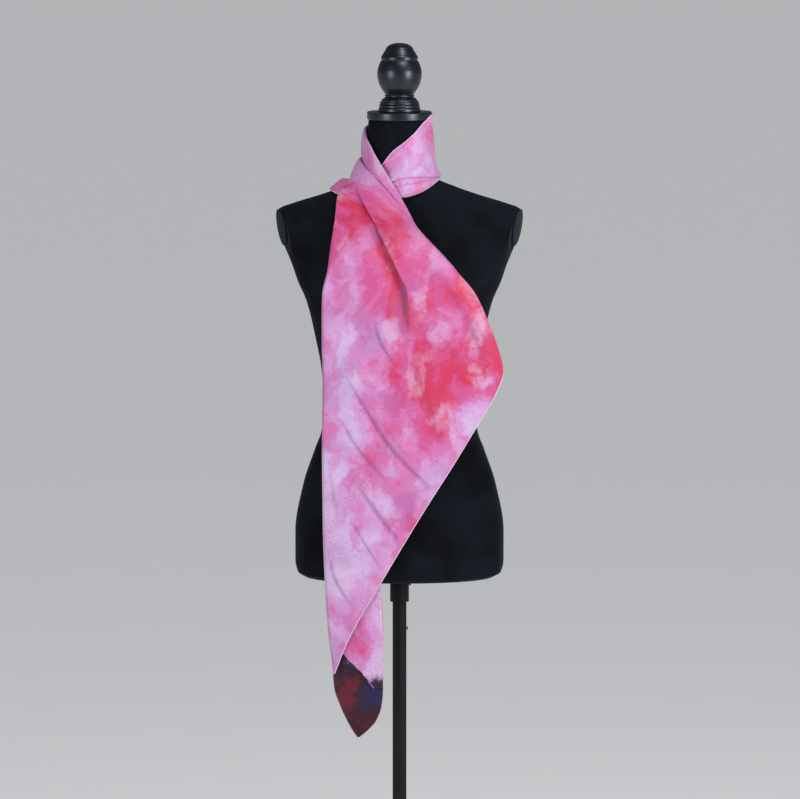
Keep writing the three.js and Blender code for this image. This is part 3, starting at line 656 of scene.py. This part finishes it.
# %% Arm plates
def arm_plate(side):
    """An oval plate with a rounded rim and a slightly crowned face, leaning as the shoulder's cut does."""
    thick, half_depth, half_height = 4.0, 34.0, 29.0
    rim = rounded([(0.02, 0), (1, 0), (1, thick - 0.9), (0.02, thick + 0.4)], 0.05, 7)
    share, out = rim.T[:, :, None]
    angle = side * np.linspace(0, math.tau, 96, endpoint=False)
    across = out - thick / 2
    y = half_depth * share * np.cos(angle)
    up = half_height * share * np.sin(angle)
    lean = math.atan(ARM_LEAN)
    x = side * (ARM_OUT + 0.3 + thick / 2 + across * math.cos(lean) + up * math.sin(lean) + ARM_TURN * y)
    z = ARM_HEIGHT + up * math.cos(lean) - across * math.sin(lean)
    return np.stack([x, y + 0 * x, z], -1)


# The plates' lighter velvet is painted sheen.
for side, name in ((-1, "left"), (1, "right")):
    oval = grid_piece(f"velvet_plate_{name}", arm_plate(side), wrap=True, caps=True, sharp=60)
    place(oval, plate_velvet_painted_sheen, "velvet", "dressed_form", f"arm_plate_{name}")

# %% [markdown]
# The scarf is one thin square, folded along its diagonal. From the left of the neck a long tail falls in
# four layers: the wide front panel, a strip turned in behind its right edge, a layer behind that reaches
# down to the corner, and a narrow stretch folded forward from that one. The innermost layer touches the
# bust and then falls straight. The other layers are the same surface, moved out.

# %% How the tail hangs
hang = table(
    "height depth",
    (455, 112), (563, 114), (700, 117), (850, 119), (1040, 121), (1122, 127), (1176, 128), (1215, 117),
    (1258, 92), (1292, 60),
)
LAYER, LEFT_FOLD, RIGHT_FOLD = 5.0, 5.0, 2.5
PANEL_TOP = 1258.0
ROW_STEP = 2.8
CLEAR_OF_FORM, SOFT_JOIN = 3, 10
BOW_BACK, BOW_MIDDLE, BOW_HALF = 6, 10, 130
CURL, CURL_MIDDLE, CURL_HALF, CURL_HEIGHTS = 5, -72, 50, (600, 720)


def drape_depth(x, z):
    """The soft larger of form + 3 and the free fall: (a + b + √((a - b)² + 10²)) / 2. The free fall bows
    back to both sides and curls forward near the low end."""
    on_form = form_depth(x, z) + CLEAR_OF_FORM
    curled = CURL * (1 - ((x - CURL_MIDDLE) / CURL_HALF) ** 2) * (1 - ease(*CURL_HEIGHTS, z))
    free = hang.depth(z) - BOW_BACK * ((x - BOW_MIDDLE) / BOW_HALF) ** 2 + curled
    return (on_form + free + np.hypot(on_form - free, SOFT_JOIN)) / 2


def below_neck(z):
    """0 on the neck and 1 where the tail hangs, so that the folds at its sides fade in."""
    return ease(1262, 1234, z)


def across_places(width, count):
    """Distances from the right edge: close together where the cloth turns, even between."""
    quarter = 1 - np.sin(np.radians(np.linspace(90, 0, 6)))
    right = np.minimum(RIGHT_FOLD, width / 3)
    left = np.minimum(LEFT_FOLD, width / 3)
    middle = np.linspace(0, 1, count + 1)[1:-1]
    even = right + (width - right - left) * middle
    return np.hstack([quarter * right, even, width - quarter[::-1] * left])


def quarter_turn(radius, away):
    """How far a quarter circle has turned back: r - √(r² - (r - away)²)."""
    short = np.clip(radius - away, 0, radius)
    return radius - np.sqrt(radius**2 - short**2)


def hanging_rows(layer, heights):
    """Rows of the tail, each at one height from its right edge to its left edge."""
    z = heights[:, None]
    left, right = layer.edges.left(z), layer.edges.right(z)
    width = right - left
    away = across_places(width, layer.columns)
    x = right - away
    turned_in = layer.right_turn(z) * quarter_turn(np.minimum(RIGHT_FOLD, width / 3), away)
    turned_in = turned_in + layer.left_turn(z) * quarter_turn(np.minimum(LEFT_FOLD, width / 3), width - away)
    return np.stack([x, -(drape_depth(x, z) + layer.depth + turned_in), z + 0 * x], -1)


def neck_rows(layer, ribs, bulge, lift=0.0, steps=10):
    """Rows between ribs on the neck: straight from right to left, bulged out by bulge · sin(π · share)."""
    at = np.linspace(0, ribs.places[-1], int(ribs.places[-1]) * steps + 1)
    right = np.stack([ribs.right_x(at), -ribs.right_depth(at), ribs.right_z(at)], -1)[:, None]
    left = np.stack([ribs.left_x(at), -ribs.left_depth(at), ribs.left_z(at)], -1)[:, None]
    width = lengths(right - left)
    share = (across_places(width, layer.columns) / width)[..., None]
    grid = right + (left - right) * share
    outward = unit(grid * [1, 1, 0])
    swell = np.sin(math.pi * share)
    return grid + outward * bulge * swell + np.array([0, 0, 1]) * lift * swell


# The collar's last rib: the heights of its edges and their radii.
END_TOP, END_LOW, END_NARROW, END_WIDE = 1411, 1333, 56, 71
PLEAT_RISE, PLEAT_SPREAD = 1.6, 0.13


def meet_collar(grid, above, rows=12):
    """Presses a stretch's first rows, above a height, to the section in which the collar ends:
    narrow + (wide - narrow) · share² + pleat, where share is the way from its top to its low edge."""
    start = grid[:rows]
    z = start[..., 2]
    radius = lengths(start[..., :2])
    share = np.clip((END_TOP - z) / (END_TOP - END_LOW), 0, 1)
    wanted = END_NARROW + (END_WIDE - END_NARROW) * share**2 + PLEAT_RISE * bell(share - 0.52, PLEAT_SPREAD)
    on_form = form_radius(np.arctan2(start[..., 0], -start[..., 1]), z) + 2.4
    away = lengths(start - start[:1])
    near = ease(16, 1, away) * ease(above, above + 8, z)
    start[..., :2] *= (1 + near * (np.maximum(wanted, on_form) / radius - 1))[..., None]


def bridge(above, below, steps=6):
    """Rows between two stretches, on a cubic that leaves one and meets the other in its own direction."""
    t = np.linspace(0, 1, steps + 2)[1:-1, None, None]
    reach = lengths(below[0] - above[-1])[None, :, None]
    start, end = above[-1][None], below[0][None]
    leave = unit(above[-1] - above[-3])[None] * reach
    meet = unit(below[2] - below[0])[None] * reach
    return (
        (2 * t**3 - 3 * t**2 + 1) * start + (t**3 - 2 * t**2 + t) * leave
        + (3 * t**2 - 2 * t**3) * end + (t**3 - t**2) * meet
    )


# %% [markdown]
# Folds are laid along short listed paths. Cloth pulled one way is steep on one side of a fold and slopes
# off gently on the other, so each fold has its own reach on both. The main pleat from the neck also tucks
# under itself: points beside its path slide together, so the surface doubles back and leaves a dark line.
# Slow waves keep the rest from looking ironed.

# %% Folds and waves
# Each row: rise, spread, tuck, over, dip, hollow and the path's points as x and height.
FRONT_FOLDS = [
    (8.5, 30, 13, 8.4, 5, 1.1, [(-72, 1324), (-56, 1300), (-26, 1248), (0, 1196), (13, 1160), (13, 1104)]),
    (2.4, 22, 7, 2.8, 0.7, 0.7, [(-40, 1118), (-28, 1086), (-8, 1050)]),
    (3.4, 30, 7, 3.6, 1.4, 0.7, [(-80, 1026), (-53, 982), (-9, 917), (24, 880), (64, 842)]),
    (1.6, 10, 6, 1.2, 0.4, 0.7, [(-62, 1004), (-30, 962), (8, 912), (40, 884)]),
    (2.4, 24, 7, 2.8, 0.9, 0.7, [(-92, 964), (-72, 930), (-50, 902), (-20, 866)]),
    (2.8, 24, 7, 3.2, 1.1, 0.7, [(-66, 862), (-46, 834), (-20, 800), (10, 756)]),
    (2.0, 18, 6, 2.2, 0.7, 0.7, [(-76, 806), (-60, 780), (-30, 730)]),
    (2.2, 18, 6, 2.4, 0.8, 0.7, [(-110, 740), (-96, 706), (-74, 668)]),
    (1.8, 16, 9, 0.8, 0.5, 0.7, [(-112, 900), (-104, 850), (-94, 800)]),
    (2.2, 22, 11, 1.4, 0.9, 0.7, [(16, 1056), (46, 990), (64, 926)]),
    (3.8, 18, 15, 1, 1.5, 0.7, [(60, 1194), (92, 1146), (118, 1096), (134, 1050)]),
]
# How far past the ends of its path a fold and its tuck fade out.
FOLD_FADES, TUCK_FADES = 12, 4


def along_path(points, count=70):
    """Evenly numbered points on a smooth curve through a few, with the direction at each."""
    points = np.asarray(points, float)
    length = length_along(points)
    at = np.linspace(0, length[-1], count)
    path = np.stack([smooth_curve(length, column)(at) for column in points.T], -1)
    return path, unit(np.gradient(path, axis=0))


def folded(grid, folds, middle):
    """The grid with folds. From left to right each dips by bell, steps up by rise within the tuck and
    falls off by bell over the spread. Points slide by -over · sin(π · distance / tuck), so that the
    surface doubles back. middle is 0 where the sheet's outline has to stay."""
    x, z = grid[..., 0], grid[..., 2]
    lift = np.zeros_like(x)
    slide = np.zeros(x.shape + (2,))
    for rise, spread, tuck, over, dip, hollow, points in folds:
        path, direction = along_path(points)
        gap = np.stack([x, z], -1)[..., None, :] - path
        nearest = (gap**2).sum(-1).argmin(-1)
        to_point = np.take_along_axis(gap, nearest[..., None, None], -2)[..., 0, :]
        ahead = direction[nearest]
        right = np.stack([-ahead[..., 1], ahead[..., 0]], -1)
        distance = (to_point * right).sum(-1)
        beyond = (to_point * ahead).sum(-1)
        share = nearest / (len(path) - 1)
        fade = np.sin(math.pi * (0.06 + 0.88 * share)) ** 0.6
        within = np.clip(distance / tuck, -1, 1)
        step = ease(-0.5, 0.5, within) * bell(np.maximum(distance, 0), spread)
        trough = bell(distance + hollow * tuck, hollow * tuck)
        lift += (rise * step - dip * trough) * fade * bell(beyond, FOLD_FADES)
        hidden = np.sin(math.pi * share) ** 0.7 * bell(beyond, TUCK_FADES)
        slide += right * (-over * hidden * np.sin(math.pi * within) * middle)[..., None]
    around = unit(grid * [1, 1, 0])
    straight = np.array([0.0, -1.0, 0.0])
    share = ease(1250, 1310, z)[..., None]
    outward = unit(straight * (1 - share) + around * share)
    moved = grid + outward * (lift * middle)[..., None]
    moved[..., 0] += slide[..., 0]
    moved[..., 2] += slide[..., 1]
    return moved


def slow_waves(x, z):
    """Three crossing waves in millimetres, all above zero so that no layer sinks into the next."""
    one = np.sin((0.8 * x + 0.6 * z) / 26 + 0.6)
    two = np.sin((0.9 * x - 0.35 * z) / 17 + 2.1)
    three = np.sin((0.45 * x + 0.9 * z) / 43 + 1.0)
    return 0.5 * (1 + one) + 0.35 * (1 + two) + 0.8 * (1 + three)


def with_lip(grid, radius, length, at_start):
    """The sheet with one edge turned under: a half circle of the given radius, then a flat stretch."""
    rows = grid if at_start else grid[:, ::-1]
    edge = rows[:, :1]
    inward = unit(rows[:, 1:2] - edge)
    ahead = unit(np.gradient(edge, axis=0))
    under = unit(np.cross(inward, ahead))
    outward = unit(edge * [1, 1, 0])
    under = under * -np.sign((under * outward).sum(-1, keepdims=True))
    radius, length = np.reshape(radius, (-1, 1, 1)), np.reshape(length, (-1, 1, 1))
    turn = np.radians(np.linspace(180, 0, 8)[:-1])[None, :, None]
    half = edge + radius * (under * (1 - np.cos(turn)) - inward * np.sin(turn))
    flat = edge + 2 * radius * under + inward * length * np.linspace(1, 0.25, 4)[None, :, None]
    turned_under = np.concatenate([flat, half, rows], axis=1)
    return turned_under if at_start else turned_under[:, ::-1]


def cut_map(grid, edge=0, edge_u=0.0, top_v=0.0):
    """Flat coordinates of the cloth: distance across from the edge column, and distance down the rows."""
    across = length_along(grid, 1)
    columns = grid.shape[1]
    down = length_along(grid[:, columns // 3 : -columns // 3]).mean(1)
    u = np.reshape(edge_u, (-1, 1)) - (across - across[:, edge : edge + 1])
    return np.stack([u, np.broadcast_to((top_v - down)[:, None], u.shape)], -1)


# %% [markdown]
# Silk is far thinner than a millimetre. The Solidify modifier gives each grid a wall of half a millimetre,
# enough to close the mesh and too thin to see. Along each cut edge runs a rolled hem: a thin tube that is
# slightly uneven, because it is rolled and stitched by hand.

# %% Sheets and hems
SHEET = 0.5
HEM_RADIUS = 0.75
THREAD_RADIUS, STITCH_LENGTH, STITCH_LIFT = 0.32, 4.6, 0.5
# A lip has this many columns, and where it is not wanted it shrinks to the least radius and length.
LIP, LEAST_RADIUS, LEAST_LENGTH = 11, 0.1, 0.2


def silk_sheet(name, node, grid, uv, shift, **look):
    """A silk sheet on its CAD node's form, with its wall and its own stretch of the wash."""
    piece = grid_piece(name, grid, uv=uv)
    wall = piece.modifiers.new("wall", "SOLIDIFY")
    wall.thickness = SHEET * MM
    wall.offset = 0
    across, down = np.diff(grid, axis=1)[:-1], np.diff(grid, axis=0)[:, :-1]
    area = lengths(np.cross(across, down)).sum() * MM**2
    print("  area", round(float(area), 4), "square metres")
    return place(piece, silk_material("washed_" + name, shift, **look), "silk", "dressed_form", node)


def tube_on(name, line, radius, rise, material, sides=8):
    """A tube round a line on the cloth: line + rise · outwards + radius · (aside · cos a + out · sin a)."""
    ahead = unit(np.gradient(line, axis=0))
    aside = unit(np.cross(ahead, unit(line * [1, 1, 0])))
    out = np.cross(aside, ahead)
    middle = line + out * np.reshape(rise, (-1, 1))
    angle = np.linspace(0, math.tau, sides, endpoint=False)[None, :, None]
    around = aside[:, None] * np.cos(angle) + out[:, None] * np.sin(angle)
    piece = grid_piece(name, middle[:, None] + np.reshape(radius, (-1, 1, 1)) * around, wrap=True, caps=True)
    return place(piece, material, "silk", "dressed_form")


def rolled_edge(name, edge, material=rolled_hem_and_highlight):
    """A hem along an edge, whose radius swells by 1 + 0.14 · sin(2π · length / 5)."""
    radius = HEM_RADIUS * (1 + 0.14 * np.sin(math.tau * length_along(edge) / 5))
    return tube_on(name, edge, radius, 0, material)


def running_stitch(name, line):
    """One thread that rises over the cloth and dives under it by lift · sin(2π · length / stitch)."""
    line = resampled(line, 0.5)
    rise = STITCH_LIFT * np.sin(math.tau * length_along(line) / STITCH_LENGTH)
    return tube_on(name, line, THREAD_RADIUS, rise, mauve_thread, sides=6)


def resampled(edge, step=1.2):
    """The same line with points about a step apart."""
    length = length_along(edge)
    at = np.linspace(0, length[-1], int(length[-1] / step) + 2)
    return np.stack([np.interp(at, length, column) for column in edge.T], -1)


# %% The front panel
RIB_COLUMNS = "rib right_x right_depth right_z left_x left_depth left_z"
front_neck = table(
    RIB_COLUMNS,
    (0, -55, -26, 1364, -65, -31, 1333), (1, -64, 0, 1361, -76, 0, 1333), (2, -57, 27, 1351, -80, 14, 1329),
    (3, -44, 45, 1340, -86, 27, 1321), (4, -26, 61, 1322, -93, 40, 1314), (5, -10, 72, 1303, -97, 52, 1303),
    (6, 10, 84, 1282, -99, 70, 1284),
)
front = SimpleNamespace(
    depth=2 * LAYER,
    columns=112,
    edges=table(
        "height left right",
        (561, -104, -102), (574, -105, -97), (595, -108, -89), (628, -112, -74), (708, -117, -28),
        (801, -120, 27), (926, -121, 105), (1021, -120, 158), (1034, -120, 161.5), (1046, -120, 161),
        (1073, -121, 154), (1122, -121, 136), (1159, -120, 119), (1196, -112, 89), (1235, -107, 52),
        (1258, -103, 30),
    ),
    right_turn=lambda z: -below_neck(z) * ease(1021, 1034, z),
    left_turn=lambda z: -below_neck(z),
)


def tail_heights(low, high):
    """Heights of the tail's rows from high to low, closer together at the low end."""
    return np.concatenate([np.arange(high, low + 12, -ROW_STEP), np.linspace(low + 10, low, 6)])


def edge_mask(grid, near=2.0, far=20.0):
    """0 at a sheet's two side edges and 1 from far inwards, so that folds leave the outline alone."""
    across = length_along(grid, 1)
    return ease(near, far, across) * ease(near, far, across[:, -1:] - across)


EDGE_WAVES = 0.35
RIM_RISE, RIM_REACH = 2.6, 9
CUT_EDGE_TOP = 1036


def make_front():
    """The panel with its folds and waves. Beside the neck its right edge rises in a rim by an exponential,
    and both edges end in lips where they are free."""
    neck = neck_rows(front, front_neck, 2.5, steps=13)
    tail = hanging_rows(front, tail_heights(561, PANEL_TOP))
    grid = np.concatenate([neck, bridge(neck, tail), tail])
    mask = edge_mask(grid)
    grid = folded(grid, FRONT_FOLDS, mask * ease(1360, 1300, grid[..., 2]))
    x, height = grid[..., 0], grid[..., 2]
    grid[..., 1] -= ease(1290, 1200, height) * (EDGE_WAVES + (1 - EDGE_WAVES) * mask) * slow_waves(x, height)
    across = lengths(grid - grid[:, :1])
    rim = RIM_RISE * np.exp(-across / RIM_REACH) * ease(1245, 1290, height) * ease(1350, 1325, height)
    grid = grid + unit(grid * [1, 1, 0]) * rim[..., None]
    meet_collar(grid, 1300)
    z = grid[:, 0, 2]
    free_right = ease(1250, 1275, z)
    round_neck = ease(1325, 1350, z)
    radius = LEAST_RADIUS + 1.1 * free_right + 0.9 * round_neck
    grid = with_lip(grid, radius, LEAST_LENGTH + 7 * free_right, True)
    free_left = ease(1225, 1325, grid[:, -1, 2])
    grid = with_lip(grid, LEAST_RADIUS + 1.3 * free_left, LEAST_LENGTH + 10 * free_left, False)
    edge_u = np.where(z > PANEL_TOP, 30.0, grid[:, LIP, 0])
    return grid, cut_map(grid, LIP, edge_u, PANEL_TOP + 130)


front_grid, front_map = make_front()
front_sheet = silk_sheet("silk_front_panel", "scarf_front", front_grid, front_map, (0.31, 0.82), fading=True)
below_corner = front_grid[:, LIP, 2] <= CUT_EDGE_TOP
front_hem = rolled_edge("hem_front", resampled(front_grid[below_corner, LIP]))

# %% [markdown]
# The strip under the panel's right edge is the same cloth after the fold. At the neck it slides out above
# the panel and shows as a narrow band with a soft folded rim.

# %% The strip behind the right edge
strip_neck = table(
    RIB_COLUMNS,
    (0, -50, -24, 1411, -52, -25, 1357), (1, -57, 1, 1407, -58, 1, 1354), (2, -55, 15, 1394, -53, 21, 1345),
    (3, -46, 38, 1379, -47, 35, 1333), (4, -29, 53, 1354, -36, 47, 1318), (5, -14, 61.5, 1331, -24, 59, 1300),
    (6, 2, 70, 1305, -16, 72, 1278), (7, 15, 80, 1282, -10, 84, 1264),
)
strip = SimpleNamespace(
    depth=LAYER,
    columns=22,
    edges=table(
        "height left right",
        (1034, 158, 161.5), (1046, 140, 161), (1073, 92, 154), (1122, 76, 136), (1196, 40, 89),
        (1258, -8, 30),
    ),
    right_turn=below_neck,
    left_turn=lambda z: 0 * z,
)


def make_strip():
    neck = neck_rows(strip, strip_neck, 3)
    meet_collar(neck, 1366)
    tail = hanging_rows(strip, tail_heights(1034, PANEL_TOP))
    grid = np.concatenate([neck, bridge(neck, tail), tail])
    free = ease(1250, 1275, grid[:, 0, 2])
    round_neck = ease(1350, 1390, grid[:, 0, 2])
    radius = LEAST_RADIUS + 0.8 * free + 1.7 * round_neck
    grid = with_lip(grid, radius, LEAST_LENGTH + 5 * free + 9 * round_neck, True)
    return grid, cut_map(grid, LIP)


strip_sheet = silk_sheet("silk_turned_strip", "scarf_return", *make_strip(), (0.9, 0.35), paler=0.06)

# %% [markdown]
# The layer behind reaches furthest down, to a corner of the square. Its two cut edges curve in as it
# narrows. The stretch folded forward from it ends in a hem that has puckered, so its edge ripples.

# %% The layer behind and the stretch folded forward
back = SimpleNamespace(
    depth=0.0,
    columns=44,
    edges=table(
        "height left right",
        (460, -66, -63), (470, -73, -51), (486, -82, -37), (508, -92, -29), (538, -102, -26),
        (574, -105, -26), (595, -108, -26),
        (628, -112, -26), (708, -117, -29), (801, -120, -28), (1046, -120, -28),
        (1159, -120, -32), (1196, -112, -38), (1258, -99, -55),
    ),
    right_turn=lambda z: ease(940, 925, z) * ease(522, 538, z),
    left_turn=lambda z: below_neck(z) * ease(548, 574, z),
)
inner = SimpleNamespace(
    depth=LAYER,
    columns=40,
    edges=table(
        "height left right",
        (538, -41, -26), (557, -54, -26), (595, -89, -26), (612, -97, -26), (708, -104, -29),
        (930, -106, -28),
    ),
    right_turn=lambda z: -1.0 + 0 * z,
    left_turn=lambda z: 0 * z,
)


back_grid = hanging_rows(back, tail_heights(460, PANEL_TOP))
inner_grid = hanging_rows(inner, tail_heights(538, 922))
x, height = inner_grid[..., 0], inner_grid[..., 2]
pucker = np.sin(height / 1.5) + 0.6 * np.sin(height / 2.3 + x / 4)
from_hem = x - inner_grid[:, -1:, 0]
inner_grid[..., 1] -= 0.55 * pucker * np.exp(-from_hem / 9) * ease(640, 600, height)
inner_grid[..., 0] += 0.7 * np.sin(height / 1.9) * np.exp(-from_hem / 5)


def back_waves(x, z):
    """Soft upright waves that fade in below the form: 1.6 · (1 + sin(x / 11 + z / 60)) · sin(z / 90)²."""
    leaning = 1.6 * (1 + np.sin(x / 11 + z / 60)) * np.sin(z / 90) ** 2
    small = 0.5 * (1 + np.sin((x - 0.5 * z) / 13))
    return (leaning + small) * ease(695, 650, z) * ease(458, 500, z)


back_grid[..., 1] += back_waves(back_grid[..., 0], back_grid[..., 2])

# These two hang straight, so their flat coordinates are their own x and height.
# Low down both layers darken to wine and plum: the corner's darker print, partly painted shade below the
# form.
back_sheet = silk_sheet(
    "silk_back_layer", "scarf_back", back_grid, back_grid[..., [0, 2]], (0.12, 0.4), deep_below=0.56,
    sheen=0.08,
)
inner_sheet = silk_sheet(
    "silk_inner_layer", "scarf_inner", inner_grid, inner_grid[..., [0, 2]], (0.55, 0.17), paler=0.13,
    deep_below=0.527,
)
low_left = back_grid[back_grid[:, -1, 2] <= 560, -1]
low_right = back_grid[back_grid[:, 0, 2] <= 530, 0][::-1]
back_hem = rolled_edge("hem_corner", resampled(np.vstack([low_left, low_right])), plum_hem_and_shade)
inner_hem = rolled_edge("hem_inner", inner_grid[inner_grid[:, -1, 2] <= 640, -1], mauve_hem)

# %% [markdown]
# The collar is a wide band round the neck. Its rows go round the axis, and its columns down from the hem.
# A band wound on a cone would stand off the shoulder, so wherever the form is wider the cloth is pressed
# out to lie just over it.

# %% The collar
collar_ribs = table(
    "angle up_radius up_z low_radius low_z flare",
    (-50, 50, 1338, 54, 1322, 2), (-33, 50, 1354, 55, 1326, 2), (-12, 50, 1376, 59.5, 1331, 2),
    (10, 50.5, 1391, 62, 1337, 2.5), (27, 51.6, 1404, 62, 1338, 3), (48, 52, 1421, 63, 1337, 4),
    (73, 52.4, 1431, 65, 1336, 5), (95, 52.5, 1432, 66, 1336, 5), (130, 52.5, 1430, 68, 1335, 4),
    (180, 52.8, 1424, 70, 1335, 3), (215, 54, 1417, 70, 1334, 2.5),
    (244.25, END_NARROW, END_TOP, END_WIDE, END_LOW, 2),
)
lower_ribs = table(
    "angle up_radius up_z low_radius low_z flare",
    (-32, 50, 1324, 56, 1309, 1), (-12, 53, 1336, 60, 1305, 0.8), (8, 56.5, 1341, 62, 1306, 0.5),
    (29, 56.5, 1342, 62, 1311, 0.5), (50, 57, 1342, 63, 1320, 0.8), (70, 57.5, 1341, 64, 1328, 1),
    (88, 57.5, 1341, 64.5, 1330.5, 1.2), (110, 58, 1341, 67, 1329, 1.3), (145, 60, 1341, 72, 1324, 1.3),
    (180, 61, 1341, 73, 1322, 1.3), (215, 61, 1341, 72, 1324, 1.3), (238, 61, 1340, 69, 1328, 1.3),
)


BAND_STEP, PRESS, EDGE_ROOM = 1.8, 1.2, 1.4


def band_rows(ribs, columns, ripple):
    """Radius up + (low - up) · share^flare + ripple, and never less than the form's plus the press."""
    low, high = ribs.places[0], ribs.places[-1]
    degrees = np.linspace(low, high, int((high - low) / BAND_STEP) + 1)[:, None]
    share = np.linspace(0, 1, columns + 1)[None, :]
    z = ribs.up_z(degrees) + (ribs.low_z(degrees) - ribs.up_z(degrees)) * share
    flared = share ** ribs.flare(degrees)
    wanted = ribs.up_radius(degrees) + (ribs.low_radius(degrees) - ribs.up_radius(degrees)) * flared
    angle = np.radians(degrees)
    inside = np.maximum(form_radius(angle, z), np.where(z > NECK_TOP, CAP_RADIUS, 0))
    room = PRESS + EDGE_ROOM * ease(0.82, 1, share)
    radius = np.maximum(wanted + ripple(share, degrees), inside + room)
    return np.stack([radius * np.sin(angle), -radius * np.cos(angle), z], -1)


def collar_ripple(share, degrees):
    """A low pleat that rises towards the back, and slight slack between the turns."""
    place_of = 0.62 - 0.12 * np.sin(np.radians(degrees / 2))
    pleat = PLEAT_RISE * bell(share - place_of, PLEAT_SPREAD) * ease(20, 90, degrees)
    slack = 0.5 * np.sin(np.radians(degrees * 5)) * np.sin(math.pi * share)
    return pleat + slack


def lower_ripple(share, degrees):
    """Full between its edges, with one sharp crease along the middle."""
    fullness = 2.8 - 1.2 * ease(30, 80, degrees)
    return fullness * (np.sin(math.pi * share) - 0.85 * bell(share - 0.52, 0.07))


def band_map(grid):
    """Flat coordinates of a band: its length round the neck is one way, its width the other."""
    return np.swapaxes(cut_map(np.swapaxes(grid, 0, 1)), 0, 1)


collar_grid = with_lip(band_rows(collar_ribs, 44, collar_ripple), 0.7, 3, False)
lower_grid = with_lip(band_rows(lower_ribs, 30, lower_ripple), 0.7, 3, False)
collar_sheet = silk_sheet(
    "silk_collar_band", "scarf_collar", collar_grid, band_map(collar_grid), (0.68, 1.3), paler=0.065
)
lower_sheet = silk_sheet(
    "silk_lower_fold", "scarf_lower_fold", lower_grid, band_map(lower_grid), (0.47, 1.12), paler=0.15
)
collar_hem = rolled_edge("hem_collar", resampled(collar_grid[:, 0]))
collar_stitch = running_stitch("stitch_collar", collar_grid[:, 2])

# %% [markdown]
# The scarf's other corner comes out on the left shoulder from under the panel. It stands up a little off
# the velvet, which shows its rolled hem.

# %% The corner on the shoulder
shoulder_ribs = table(
    RIB_COLUMNS,
    (0, -109, 4, 1314, -108, 9, 1312.4), (1, -99, -1, 1324, -98, 29, 1309), (2, -89, -5, 1330, -87, 34, 1308),
    (3, -79, -6, 1328.5, -76, 38, 1309), (4, -70, -6, 1328, -66, 41, 1312),
)
end_grid = neck_rows(SimpleNamespace(columns=18), shoulder_ribs, 1, 3)
end_sheet = silk_sheet(
    "silk_shoulder_corner", "scarf_end", end_grid, cut_map(end_grid), (0.05, 0.66), paler=0.05
)
end_edge = np.vstack([end_grid[::-1, 0], end_grid[0, 1:-1], end_grid[:, -1]])
end_hem = rolled_edge("hem_shoulder", resampled(end_edge))

# %% [markdown]
# A plain pale floor and soft light show the shapes best. Two tall soft boxes left and right of the camera
# give the lacquered wood its two upright highlights, and a wide one hangs above.

# %% Floor, lights and camera
def make_floor():
    mesh = bpy.data.meshes.new("floor")
    reach = 70.0
    corners = [(-reach, -reach, 0), (reach, -reach, 0), (reach, reach, 0), (-reach, reach, 0)]
    mesh.from_pydata(corners, [], [(0, 1, 2, 3)])
    material, shader, at = new_material(
        "pale_floor", Roughness=0.9, Specular_IOR_Level=0.1, Emission_Color=srgb(225, 226, 228),
        Emission_Strength=0.45,
    )
    colour = ramp(noise(at, 9.0, 2.0), (0.3, (224, 225, 227)), (0.7, (227, 227, 228)))
    lead(colour, shader.inputs["Base Color"])
    mesh.materials.append(material)
    in_scene("floor", mesh)


def soft_box(name, angle, distance, height, size, power, aim=1.15):
    """A rectangular light at an angle from the camera's side of the object, aimed at it."""
    light = bpy.data.lights.new(name, "AREA")
    light.shape = "RECTANGLE"
    light.size, light.size_y = size
    light.energy = power
    lamp = in_scene(name, light)
    turn = math.radians(angle)
    at = np.array([distance * math.sin(turn), -distance * math.cos(turn), height])
    lamp.location = at
    lamp.rotation_euler = Vector(np.array([0, 0, aim]) - at).to_track_quat("-Z", "Y").to_euler()


make_floor()
soft_box("box_left", -46, 2.7, 1.5, (0.6, 1.1), 23)
soft_box("box_right", 47, 2.7, 1.5, (0.6, 1.1), 42)
soft_box("box_top", 30, 1.2, 3.2, (0.7, 0.6), 20)
world = bpy.data.worlds.new("studio")
world.use_nodes = True
surrounding = world.node_tree.nodes["Background"].inputs
surrounding[0].default_value = (0.92, 0.95, 1.0, 1.0)
surrounding[1].default_value = 0.16
bpy.context.scene.world = world
bpy.context.scene.view_settings.view_transform = "Standard"

PHOTO_WIDTH, SENSOR = 800, 36.0
FOCAL_PIXELS = 6330
CAMERA_AWAY, LOOK_DOWN = 10.0, math.radians(6.5)
LOOK_AT = np.array([0.0008, 0.0, 0.980])
lens = bpy.data.cameras.new("camera")
lens.sensor_width = SENSOR
lens.lens = FOCAL_PIXELS / PHOTO_WIDTH * SENSOR
camera = in_scene("camera", lens)
back_off = np.array([0, -math.cos(LOOK_DOWN), math.sin(LOOK_DOWN)]) * CAMERA_AWAY
camera.location = LOOK_AT + back_off
camera.rotation_euler = (math.pi / 2 - LOOK_DOWN, 0, 0)
bpy.context.scene.camera = camera
